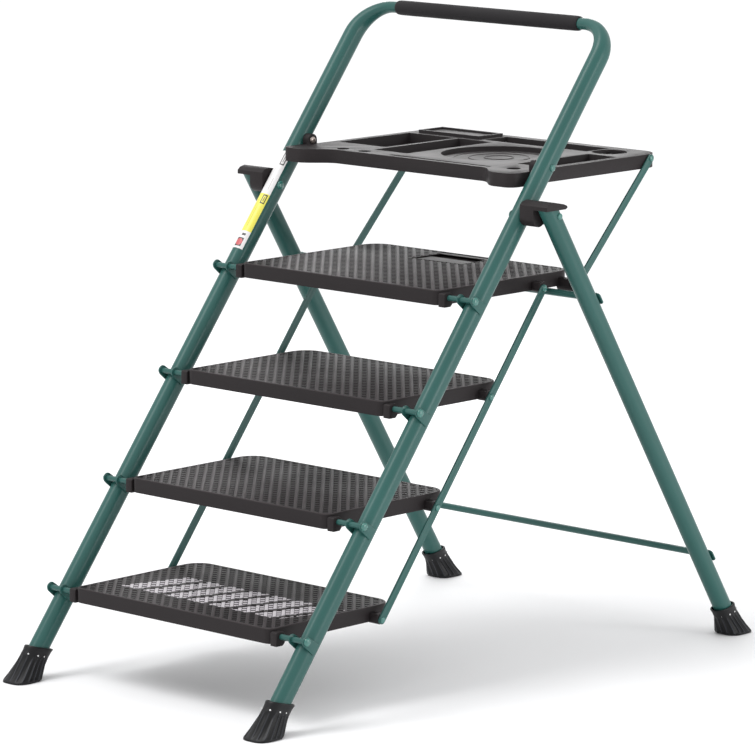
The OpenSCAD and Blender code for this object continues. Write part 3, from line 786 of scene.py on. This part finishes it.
for name, side in SIDES:
    block = rounded_copy(f"hinge_block_{name}", f"hinge_cap_{name}", 4.5 * MM, 4)
    settle(block, "rear_frame", "black_plastic", MOULDED, f"hinge_block_{name}")

# --- Hinge pins, tray pivots and leg rivets ---
# Steel pins turned to size, driven through the tubes and riveted over, then painted
# with the frame. The tray's pivots end in cross-slotted screw heads on the inside.


def steel_pin(node, body, x0, x1, y, z, shaft, head, head_tall, name=None, second_head=False):
    """Turned pin along X from x0 to x1, a round head at its far end or at both."""
    sign = 1 if x1 > x0 else -1
    length = abs(x1 - x0) / MM
    crown = [(head, 0.3), (0.93 * head, 0.55), (0.72 * head, 0.82), (0.4 * head, 0.97), (0, 1)]
    profile = [(shaft, length), (head, length)] + [(r, length + h * head_tall) for r, h in crown]
    if second_head:
        profile = ([(r, -h * head_tall) for r, h in crown[::-1]] + [(head, 0), (shaft, 0)] + profile)
    else:
        profile = [(0, 0), (shaft, 0)] + profile
    pin = turned(name or f"{node}_turned", profile, 28)
    turn = Matrix.Rotation(radians(90) * sign, 4, "Y")
    pin.data.transform(Matrix.Translation((x0, y, z)) @ turn)
    settle(pin, body, "rivet", RIVET_PAINT, node)


TRAY_Z = 1013 * MM
TRAY_Y = -FLOOR_Y + tan(FRONT_TILT) * TRAY_Z + 4 * MM / cos(FRONT_TILT)
TRAY_WIDTH = 619 * MM


def joint_place(name):
    """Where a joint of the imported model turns."""
    return Vector(next(j for j in frame["joints"] if j["name"] == name)["pos_m"])


hinge_y = joint_place("rear_frame_fold").y
for name, side in SIDES:
    steel_pin(f"hinge_pin_{name}", "front_frame", side * (LEG_X - LEG_WIDTH / 2 - 3 * MM),
              side * (RAIL_X - RAIL_WIDTH / 2 - 0.2 * MM), hinge_y, HINGE_Z, 6, 9, 4)
    low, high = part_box(f"leg_rivet_{name}")
    centre = (low + high) / 2
    steel_pin(f"leg_rivet_{name}", "rear_frame", side * (LEG_X - LEG_WIDTH / 2 - 14 * MM),
              side * (LEG_X + LEG_WIDTH / 2 + 0.2 * MM), centre.y, centre.z, 3.5, 6.5, 3.4)
    steel_pin(f"tray_pivot_{name}", "front_frame", side * (TRAY_WIDTH / 2 - 4.8 * MM),
              side * (RAIL_X + RAIL_WIDTH / 2 + 0.2 * MM), TRAY_Y, TRAY_Z, 4, 7, 4)

SCREW_STEEL = grained_material(
    "zinc_screw", (0.42, 0.36, 0.33), (0.65, 0.62, 0.60), clouds=(150, 0.2),
    grain=(1200, 0.2), scuffs=0.6, roughness=0.3,
    coat=(0.3, 0.1))
SCREW_STEEL.node_tree.nodes["Principled BSDF"].inputs["Metallic"].default_value = 0.85


def cut_out(piece, *cutters):
    """Takes each cutter out of the piece and keeps the result."""
    for cutter in cutters:
        cut = piece.modifiers.new("cut", "BOOLEAN")
        cut.object, cut.operation, cut.solver = cutter, "DIFFERENCE", "EXACT"
    plain_mesh(piece)
    scrap(*cutters)


def cross_slot_head(name):
    """Round screw head facing +Z, a cross slot sunk into it."""
    head = turned(name, [(0, -1), (7.5, -1), (7.5, 0.9), (7.0, 1.9), (5.8, 2.8), (4.0, 3.4),
                         (2.0, 3.6), (0, 3.65)], 32)
    slots = []
    for wide, long in ((1.5, 8.4), (8.4, 1.5)):
        bm = bmesh.new()
        bmesh.ops.create_cube(bm, size=1)
        for v in bm.verts:
            taper = 0.55 if v.co.z < 0 else 1
            v.co = Vector((v.co.x * wide * taper, v.co.y * long * taper, v.co.z * 4.6 + 3.4)) * MM
        slots.append(finish_mesh(bm, "slot_shape", 20))
    cut_out(head, *slots)
    head.data.set_sharp_from_angle(angle=radians(30))
    return head


screw_head = cross_slot_head("cross_slot_shape")
screws = set_parts("tray_screws", screw_head,
                   [(Vector((side * (TRAY_WIDTH / 2 - 4.7 * MM), TRAY_Y, TRAY_Z)), (-side, 0, 0))
                    for side in (-1, 1)], SCREW_STEEL)
scrap(screw_head)
settle(screws, "front_frame", "rivet", SCREW_STEEL)

# --- Treads and platform ---
# Hollow injection-moulded treads: a thin deck with a rounded rim, a skirt, lugs for the
# axle and the link pin, and stiffening ribs underneath. Long slanting ribs run from rim
# to rim on top, and fine cross ridges fill the channels between them.
TREAD_WIDTH, TREAD_FRONT = 549 * MM, 14 * MM
TREAD_TOP, TREAD_TALL, TREAD_WALL = 14 * MM, 30 * MM, 3 * MM
TREAD_LOW = TREAD_TOP - TREAD_TALL
FRONT_CORNER, REAR_CORNER = 18 * MM, 42 * MM
DECK_SINK = 1.5 * MM
RIM = 7 * MM
LINK_BACK, LINK_DROP = 268 * MM, 10 * MM
LINK_X = RAIL_X - RAIL_WIDTH / 2 - 22 * MM
RIB_PITCH, RIB_WIDE = 17 * MM, 6.8 * MM
RIB_TURN = radians(43.5)
RIDGE_PITCH = 18 * MM
# the ribs run up onto the rim, the ridges stop short of it, and both clear an opening
RIB_OVER_RIM, RIDGE_OFF_RIM, OPENING_CLEAR = 2.6 * MM, 4.5 * MM, 6.6 * MM
SHORTEST_RUN = 8 * MM


def tread_outline(depth, inset, corner_steps=10):
    """Plan of a tread, drawn in by inset: small corners in front, large behind."""
    half = TREAD_WIDTH / 2 - inset
    front, rear = -TREAD_FRONT + inset, -TREAD_FRONT + depth - inset
    small = max(FRONT_CORNER - inset, 1.5 * MM)
    large = max(REAR_CORNER - inset, 1.5 * MM)
    corners = ((half - large, rear - large, large, 0), (-half + large, rear - large, large, 90),
               (-half + small, front + small, small, 180), (half - small, front + small, small, 270))
    points = []
    for cx, cy, radius, start in corners:
        for k in range(corner_steps + 1):
            turn = radians(start + 90 * k / corner_steps)
            points.append((cx + radius * cos(turn), cy + radius * sin(turn)))
    return points


def box_in(bm, x0, x1, y0, y1, z0, z1):
    """A plain box joined into bm, for ribs and walls."""
    corners = [bm.verts.new((x, y, z)) for x in (x0, x1) for y in (y0, y1) for z in (z0, z1)]
    for quad in ((0, 1, 3, 2), (4, 6, 7, 5), (0, 4, 5, 1), (2, 3, 7, 6), (0, 2, 6, 4), (1, 5, 7, 3)):
        bm.faces.new([corners[k] for k in quad])


def tread_shell(name, depth, opening=None):
    """The skirt, the rim and the sunk deck, hollow underneath, about its axle."""
    bm = bmesh.new()
    # inset and height of each ring, from inside the skirt over the rim to the deck
    rings = [(TREAD_WALL, TREAD_TOP - 5 * MM), (TREAD_WALL, TREAD_LOW + 0.5 * MM),
             (TREAD_WALL - 0.6 * MM, TREAD_LOW), (1.0 * MM, TREAD_LOW), (0.4 * MM, TREAD_LOW + 0.5 * MM),
             (0.3 * MM, TREAD_LOW + 2 * MM), (0, TREAD_TOP - 3.6 * MM), (0.15 * MM, TREAD_TOP - 1.9 * MM),
             (0.9 * MM, TREAD_TOP - 0.7 * MM), (2.2 * MM, TREAD_TOP - 0.1 * MM), (3.2 * MM, TREAD_TOP),
             (RIM - 1.2 * MM, TREAD_TOP), (RIM - 0.5 * MM, TREAD_TOP - 0.3 * MM),
             (RIM, TREAD_TOP - DECK_SINK)]
    loft(bm, [[Vector((x, y, z)) for x, y in tread_outline(depth, inset)]
              for inset, z in rings])
    shell = finish_mesh(bm, name, 40)
    if opening:
        x, y0, y1 = opening
        bm = bmesh.new()
        box_in(bm, -x, x, y0, y1, -12 * MM, 40 * MM)
        cut_out(shell, finish_mesh(bm, "opening_shape", 20))
    bm = bmesh.new()
    low, high = TREAD_LOW + 1 * MM, TREAD_TOP - 3.5 * MM
    for x in (-184, -69.5, 69.5, 184):
        box_in(bm, (x - 1.5) * MM, (x + 1.5) * MM, -TREAD_FRONT + 1 * MM,
               -TREAD_FRONT + depth - 1 * MM, low, high)
    for y in (70, 150, 230):
        box_in(bm, -TREAD_WIDTH / 2 + 1 * MM, TREAD_WIDTH / 2 - 1 * MM, y * MM, (y + 2.5) * MM,
               TREAD_LOW + 6 * MM, high)
    return joined(name, [shell, finish_mesh(bm, "under_ribs", 20)])


def joined(name, pieces):
    """Several finished meshes as one object."""
    bm = bmesh.new()
    for piece in pieces:
        bm.from_mesh(piece.data)
    scrap(*pieces)
    piece = piece_from(bm, name)
    piece.data.set_sharp_from_angle(angle=radians(35))
    return piece


def lug(name, x0, x1, outline):
    """A moulded lug: an outline in (y, z) given thickness along X, edges rounded."""
    centre = (x0 + x1) / 2
    return plate(name, outline, abs(x1 - x0), lambda a, b, c: Vector((centre + c, a, b)),
                 1.4 * MM, 3)


def round_lug_outline(back, drop, top):
    """Outline of a lug that is round below a pin and runs straight up beside it."""
    radius = 9 * MM
    turns = [radians(t) for t in range(180, 361, 15)]
    return ([(back + radius * cos(t), -drop + radius * sin(t)) for t in turns]
            + [(back + radius, top), (back - radius, top)])


def tread_lugs(prefix):
    """Front lugs beside the skirt round the axle, rear lugs round the link pin."""
    lugs = []
    for side in (-1, 1):
        edge = TREAD_WIDTH / 2
        front = [(-13, -14), (-13, -18.2), (-10, -18.5), (5, -18.5), (10.6, -13.5), (10.8, 4),
                 (8, 9), (-10, 9.4), (-12.8, 7)]
        lugs.append(lug(f"{prefix}_lug", side * (edge - 2 * MM), side * (edge + 15 * MM),
                        [(a * MM, b * MM) for a, b in front]))
        lugs.append(lug(f"{prefix}_lug", side * (edge - 6 * MM), side * (LINK_X - 2.4 * MM),
                        round_lug_outline(LINK_BACK, LINK_DROP, 2 * MM)))
    return lugs


def make_slanting_grip():
    """Geometry nodes for a tread's grip: long smooth ribs with cross ridges between."""
    tree, entry = new_tree(
        "slanting_grip", "GeometryNodeTree",
        [("Shell", GEOMETRY), ("Rib Starts", OBJECT), ("Channel Lines", OBJECT), ("Turn", FLOAT),
         ("Deck Level", FLOAT), ("Rim Level", FLOAT), ("Ridge Pitch", FLOAT), ("Rib", OBJECT),
         ("Ridge", OBJECT), ("Finish", MATERIAL)], [("Geometry", GEOMETRY)])
    turn = wired(tree, "ShaderNodeCombineXYZ", {2: entry["Turn"]}).outputs[0]

    def shape(name):
        return wired(tree, "GeometryNodeObjectInfo", {"Object": entry[name]}).outputs["Geometry"]

    def with_relief(geometry, value):
        """The geometry with its relief, which paints highlight and shade, stored on its points."""
        return wired(tree, "GeometryNodeStoreNamedAttribute",
                     {"Geometry": geometry, "Name": "relief", "Value": value},
                     data_type="FLOAT", domain="POINT").outputs["Geometry"]

    def copies(points, part, relief, **more):
        """A part with its relief, turned with the grip, at every point."""
        inputs = {"Points": points, "Instance": with_relief(shape(part), relief), "Rotation": turn}
        return wired(tree, "GeometryNodeInstanceOnPoints", {**inputs, **more}).outputs["Instances"]

    place = wired(tree, "GeometryNodeInputPosition").outputs[0]
    height = wired(tree, "ShaderNodeSeparateXYZ", {0: place}).outputs[2]
    # the rim's top gets a painted highlight and the sunk deck painted shade
    on_deck_level = reckoned(tree, "COMPARE", height, entry["Deck Level"], 0.1 * MM)
    on_rim = reckoned(tree, "GREATER_THAN", height, entry["Rim Level"])
    shell_relief = reckoned(tree, "MULTIPLY_ADD", on_rim, 0.8,
                            reckoned(tree, "MULTIPLY", on_deck_level, -1))
    curve = wired(tree, "GeometryNodeMeshToCurve", {"Mesh": shape("Channel Lines")})
    dots = wired(tree, "GeometryNodeCurveToPoints",
                 {"Curve": curve.outputs["Curve"], "Length": entry["Ridge Pitch"]}, mode="LENGTH")
    join = wired(tree, "GeometryNodeJoinGeometry")
    # the ribs get a painted highlight, the cross ridges painted shade
    for layer in (with_relief(entry["Shell"], shell_relief),
                  copies(shape("Rib Starts"), "Rib", 1.0, Scale=attribute_vector(tree, "run")),
                  copies(dots.outputs["Points"], "Ridge", -0.25)):
        tree.links.new(layer, join.inputs["Geometry"])
    end_geometry(tree, join.outputs["Geometry"], entry["Finish"])
    return tree


SLANTING_GRIP = make_slanting_grip()
CHANNEL_WIDE = RIB_PITCH - RIB_WIDE


def rib_shape():
    """Smooth rib, one metre long along Y from the origin, to be scaled to its run."""
    bm = bmesh.new()
    half, tall = RIB_WIDE / 2, DECK_SINK - 0.06 * MM
    section = [(-half, -0.4 * MM), (-half, tall * 0.4), (-half * 0.85, tall * 0.8), (-half * 0.5, tall),
               (half * 0.5, tall), (half * 0.85, tall * 0.8), (half, tall * 0.4), (half, -0.4 * MM)]
    loft(bm, [[Vector((x, y, z)) for x, z in section] for y in (0, 1)])
    return finish_mesh(bm, "rib_shape", 50)


def ridge_shape():
    """One cross ridge of a channel: a low bar with sloping sides and ends."""
    bm = bmesh.new()
    half, deep, tall = CHANNEL_WIDE / 2 - 0.4 * MM, 4.6 * MM, 1.1 * MM
    loft(bm, [[Vector((a * x, b * y, z)) for a, b in ((-1, -1), (1, -1), (1, 1), (-1, 1))]
              for x, y, z in ((half, deep, -0.2 * MM), (half - 1 * MM, deep * 0.6, tall))])
    return finish_mesh(bm, "ridge_shape", 20)


def on_deck(x, y, depth, opening, margin):
    """Whether a point of the deck lies inside the rim and clear of the opening."""
    half, front, rear = TREAD_WIDTH / 2 - RIM, -TREAD_FRONT + RIM, -TREAD_FRONT + depth - RIM
    corner = (REAR_CORNER if y > (front + rear) / 2 else FRONT_CORNER) - RIM
    over_x = max(abs(x) - (half - corner), 0)
    over_y = max(y - (rear - corner), (front + corner) - y, 0)
    if hypot(over_x, over_y) > corner - margin:
        return False
    return not (opening and abs(x) < opening[0] + OPENING_CLEAR and y > opening[1] - OPENING_CLEAR)


def slanting_runs(depth, opening, shift, margin):
    """Start and length of each run of a family of slanting lines across the deck, and their way."""
    along = Vector((-sin(RIB_TURN), cos(RIB_TURN), 0))
    aside = Vector((cos(RIB_TURN), sin(RIB_TURN), 0))
    runs = []
    for k in range(-21, 22):
        centre = Vector((0, depth / 2 - TREAD_FRONT, 0)) + aside * RIB_PITCH * (k + shift)
        start = None
        for step in range(-400, 401):
            p = centre + along * step * MM
            inside = on_deck(p.x, p.y, depth, opening, margin) and step < 400
            if inside and start is None:
                start = p
            if not inside and start is not None:
                if (p - start).length > SHORTEST_RUN:
                    runs.append((start, (p - start).length))
                start = None
    return runs, along


def grip_lines(depth, opening):
    """Helper meshes: one point for each rib, one edge for each channel."""
    level = Vector((0, 0, TREAD_TOP - DECK_SINK))
    runs, along = slanting_runs(depth, opening, 0, -RIB_OVER_RIM)
    starts = bpy.data.meshes.new("rib_starts")
    starts.from_pydata([tuple(start + level) for start, length in runs], [], [])
    layer = starts.attributes.new("run", "FLOAT_VECTOR", "POINT")
    for k, (start, length) in enumerate(runs):
        layer.data[k].vector = (1, length, 1)
    runs, along = slanting_runs(depth, opening, 0.5, RIDGE_OFF_RIM)
    lines = bpy.data.meshes.new("channel_lines")
    points = [tuple(p + level) for start, length in runs for p in (start, start + along * length)]
    lines.from_pydata(points, [(2 * k, 2 * k + 1) for k in range(len(runs))], [])
    return (bpy.data.objects.new("rib_starts", starts), bpy.data.objects.new("channel_lines", lines))


rib_part, ridge_part = rib_shape(), ridge_shape()


def add_grip(shell, depth, opening=None):
    """The shell with its ribs and ridges, as one plain mesh."""
    starts, lines = grip_lines(depth, opening)
    modifier = shell.modifiers.new("grip", "NODES")
    modifier.node_group = SLANTING_GRIP
    set_inputs(modifier, Rib_Starts=starts, Channel_Lines=lines, Turn=RIB_TURN,
               Deck_Level=TREAD_TOP - DECK_SINK, Rim_Level=TREAD_TOP - 0.75 * MM,
               Ridge_Pitch=RIDGE_PITCH, Rib=rib_part, Ridge=ridge_part, Finish=MOULDED)
    plain_mesh(shell)
    scrap(starts, lines)
    if "run" in shell.data.attributes:
        shell.data.attributes.remove(shell.data.attributes["run"])
    return shell


TREAD_DEPTH, PLATFORM_DEPTH = 345 * MM, 400 * MM
MARK_SLANT, MARK_PITCH, MARK_SHARE = 0.3, 62 * MM, 0.72
# painted highlight on the treads' ribs and rim, painted shade on their deck and ridges
paint_light_by_relief(MOULDED)


def make_marked_plastic():
    """The moulded plastic with a row of plain slanting white bars printed on top."""
    material = MOULDED.copy()
    material.name = "marked_plastic"
    tree = material.node_tree
    base = tree.nodes["Principled BSDF"].inputs["Base Color"]
    place = wired(tree, "ShaderNodeTexCoord").outputs["Object"]
    x, y, z = wired(tree, "ShaderNodeSeparateXYZ", {0: place}).outputs
    back = reckoned(tree, "SUBTRACT", y, step_y(0))
    slant = reckoned(tree, "SUBTRACT", x, reckoned(tree, "MULTIPLY", back, MARK_SLANT))
    bars = reckoned(tree, "DIVIDE", reckoned(tree, "ADD", slant, 300 * MM), MARK_PITCH)
    mask = reckoned(tree, "LESS_THAN", reckoned(tree, "FRACT", bars), MARK_SHARE)
    deck = step_height(0) + TREAD_TOP - DECK_SINK
    for value, low, high in ((slant, -238 * MM, 200 * MM), (back, 62 * MM, 206 * MM),
                             (z, deck + 0.25 * MM, 1)):
        mask = reckoned(tree, "MULTIPLY", mask, reckoned(tree, "GREATER_THAN", value, low))
        mask = reckoned(tree, "MULTIPLY", mask, reckoned(tree, "LESS_THAN", value, high))
    wear = object_noise(tree, Scale=160, Detail=6)
    mask = reckoned(tree, "MULTIPLY", mask, reckoned(tree, "LESS_THAN", wear, 0.66))
    tree.links.new(mixed(tree, mask, base.links[0].from_socket, (0.56, 0.53, 0.56, 1)), base)
    return material


MARKED = make_marked_plastic()
tread_pattern = joined("tread_pattern", [add_grip(tread_shell("tread_shell", TREAD_DEPTH), TREAD_DEPTH)]
                       + tread_lugs("tread"))
for i in range(3):
    mesh = tread_pattern.data.copy()
    mesh.transform(Matrix.Translation((0, step_y(i), step_height(i))))
    tread = new_piece(f"tread_{i + 1}_moulding", mesh)
    settle(tread, f"step_{i + 1}", "black_plastic", MARKED if i == 0 else MOULDED,
           f"tread_{i + 1}")
scrap(tread_pattern)

# The top platform is the same moulding, deeper, with one opening for the release
# flap and the hand hold behind it, and lugs for the tray's links.
FLAP_WIDE, FLAP_WALL = 130 * MM, 3 * MM
flap_y = joint_place("flap_lift").y - step_y(3)
half, front, rear = FLAP_WIDE / 2 + 1 * MM, flap_y - 7 * MM, flap_y + 71 * MM
opening = (half, front, rear)
platform = add_grip(tread_shell("platform_shell", PLATFORM_DEPTH, opening), PLATFORM_DEPTH, opening)
parts = [platform] + tread_lugs("platform")
bm = bmesh.new()
for x0, x1, y0, y1 in ((-half - FLAP_WALL, -half, front - FLAP_WALL, rear + FLAP_WALL),
                       (half, half + FLAP_WALL, front - FLAP_WALL, rear + FLAP_WALL),
                       (-half, half, front - FLAP_WALL, front),
                       (-half, half, rear, rear + FLAP_WALL)):
    box_in(bm, x0, x1, y0, y1, TREAD_LOW + 3 * MM, TREAD_TOP)
parts.append(bevelled(finish_mesh(bm, "flap_frame", 20), 0.6 * MM, 2))
UPPER_X = TRAY_WIDTH / 2 + 1.4 * MM + 2 * MM
UPPER_BACK, UPPER_DROP = 349 * MM, 16 * MM
for side in (-1, 1):
    parts.append(lug("platform_link_lug", side * (TREAD_WIDTH / 2 - 6 * MM),
                     side * (UPPER_X - 2.4 * MM), round_lug_outline(UPPER_BACK, UPPER_DROP, 1 * MM)))
platform = joined("platform_moulding", parts)
platform.data.transform(Matrix.Translation((0, step_y(3), step_height(3))))
settle(platform, "step_4", "black_plastic", MOULDED, "platform")
scrap(rib_part, ridge_part)

# --- Axle heads, link pins ---
# Each tread turns on a steel rod whose ends are riveted over outside the rails, and
# a thinner rod under its rear edge carries the link bars.
head_shape = turned("axle_head_shape", [(0, -0.4), (9.5, -0.4), (9.5, 1.2), (9.2, 2.4), (8.2, 3.9),
                                        (6.4, 5.1), (4.0, 5.8), (0, 6.0)], 32)
for i in range(4):
    body = f"step_{i + 1}"
    x = RAIL_X + RAIL_WIDTH / 2 + EAR_THICK + 0.3 * MM
    heads = set_parts(f"axle_heads_{i + 1}", head_shape,
                      [(Vector((side * x, step_y(i), step_height(i))), (side, 0, 0))
                       for side in (-1, 1)], RIVET_PAINT, 0.86)
    settle(heads, body, "rivet", RIVET_PAINT, f"axle_head_{i + 1}_left", f"axle_head_{i + 1}_right")
    reach = LINK_X + 2.3 * MM
    steel_pin(f"link_pin_{i + 1}", body, -reach, reach, step_y(i) + LINK_BACK,
              step_height(i) - LINK_DROP, 4, 6.5, 3.4, f"link_rod_{i + 1}", second_head=True)
scrap(head_shape, rivet_shape)
for name, side in SIDES:
    reach = UPPER_X + 2.3 * MM
    steel_pin(f"upper_pin_{name}", "step_4", side * (TREAD_WIDTH / 2 - 9 * MM), side * reach,
              step_y(3) + UPPER_BACK, step_height(3) - UPPER_DROP, 4, 6, 2.6)
    steel_pin(f"tray_pin_{name}", "tool_tray", side * (TRAY_WIDTH / 2 - 13.5 * MM), side * reach,
              TRAY_Y + UPPER_BACK, TRAY_Z - UPPER_DROP, 4, 6, 2.6)

# --- Link bars ---
# Flat steel bars with rounded ends, painted green, that tie the treads together and
# carry the rear of the tray, so that everything folds as one.
for name, side in SIDES:
    for run, body in (("lower", "links_lower"), ("upper", "links_upper")):
        link = rounded_copy(f"link_{run}_{name}", f"link_bar_{run}_{name}", 0.7 * MM, 2)
        settle(link, body, "green_paint", POWDER_COAT, f"link_{run}_{name}")

# --- Release flap ---
# Moulded flap in the platform's rear edge. Its tail stands behind the rear cross bar
# and keeps the open ladder from folding.
flap = rounded_copy("release_flap", "release_flap_moulding", 0.9 * MM, 3)
settle(flap, "flap", "black_plastic", MOULDED, "release_flap")

# --- Tool tray ---
# One large moulding: a skirted plate with lobes at the front corners, tool holes and a
# slot along the front, open pockets, a ringed dish for a can and a raised corner box.
tray = rounded_copy("tray", "tool_tray_moulding", 0.9 * MM, 2, 28)
settle(tray, "tool_tray", "black_plastic", MOULDED, "tray")
TRAY_TOP = TRAY_Z - 8 * MM
DISH_X, DISH_Y, DISH_SINK = 78 * MM, TRAY_Y + 150 * MM, 9 * MM
rings = [turned("dish_ring", [(radius - 1.6, -0.4), (radius - 0.9, 0.9), (radius, 1.2),
                              (radius + 0.9, 0.9), (radius + 1.6, -0.4)], 72)
         for radius in (30, 62, 92)]
dish_rings = joined("tray_dish_rings", rings)
dish_rings.data.transform(Matrix.Translation((DISH_X, DISH_Y, TRAY_TOP - DISH_SINK)))
settle(dish_rings, "tool_tray", "black_plastic", MOULDED)

# --- Remaining rods ---
# The steel rods that the treads turn on, cut to length and painted with the frame, and
# the flap's bright pin. They keep their drawn shape and get their finish here.
for i in range(4):
    frame["nodes"][f"axle_{i + 1}"].material_slots[0].material = POWDER_COAT
frame["nodes"]["flap_pin"].material_slots[0].material = SCREW_STEEL

# --- Floor, light and camera ---
# A pale studio floor that runs off to the horizon, under a plain white sky. A broad
# overhead light and three softboxes model the tubes, and the camera stands well back.
FLOOR_REACH, FLOOR_DROP = 40, 0.2 * MM
bm = bmesh.new()
bm.faces.new([bm.verts.new((a * FLOOR_REACH, b * FLOOR_REACH, -FLOOR_DROP))
              for a, b in ((-1, -1), (1, -1), (1, 1), (-1, 1))])
floor = finish_mesh(bm, "studio_floor", 30)
floor_paint, tree, shader = new_material("studio_floor")
feed(tree, shader, {"Base Color": (0.92, 0.92, 0.93, 1), "Roughness": 0.9, "Specular IOR Level": 0.1})
floor.data.materials.append(floor_paint)

world = bpy.data.worlds.new("studio_sky")
world.use_nodes = True
sky = world.node_tree.nodes["Background"]
feed(world.node_tree, sky, {"Color": (1, 1, 1, 1), "Strength": 0.92})
bpy.context.scene.world = world


def aimed(name, data, place, target):
    """A lamp or the camera at a place, turned to face the target."""
    piece = new_piece(name, data)
    piece.location = place
    piece.rotation_mode = "QUATERNION"
    piece.rotation_quaternion = (Vector(target) - Vector(place)).to_track_quat("-Z", "Y")
    return piece


def soft_light(name, place, target, size, power):
    """A rectangular softbox."""
    data = bpy.data.lights.new(name, "AREA")
    data.shape, data.size, data.size_y = "RECTANGLE", size[0], size[1]
    data.energy = power
    aimed(name, data, place, target)


overhead = bpy.data.lights.new("overhead_light", "SUN")
overhead.energy, overhead.angle = 0.85, radians(26)
aimed("overhead_light", overhead, (-1.6, -1.5, 5.0), (0, 0, 0))
soft_light("front_softbox", (-1.0, -2.4, 4.2), (0, 0, 0.6), (1.2, 2.4), 42)
soft_light("side_softbox", (3.9, 1.7, 1.2), (0, 0, 0.7), (0.9, 2.4), 40)
soft_light("back_softbox", (-2.5, 3.0, 2.2), (0, 0, 0.7), (1.6, 1.2), 22)

AZIMUTH, ELEVATION, DISTANCE = radians(43.56), radians(9.82), 9.582
look_at = Vector((0, 0.0132, 0.568))
back = Vector((sin(AZIMUTH) * cos(ELEVATION),
               -cos(AZIMUTH) * cos(ELEVATION), sin(ELEVATION)))
camera_data = bpy.data.cameras.new("camera")
camera_data.sensor_width = 36
camera_data.lens = 226.5
camera_data.clip_end = 200
bpy.context.scene.camera = aimed("camera", camera_data, look_at + back * DISTANCE, look_at)
bpy.context.scene.view_settings.view_transform = "Standard"

bpy.context.view_layer.update()
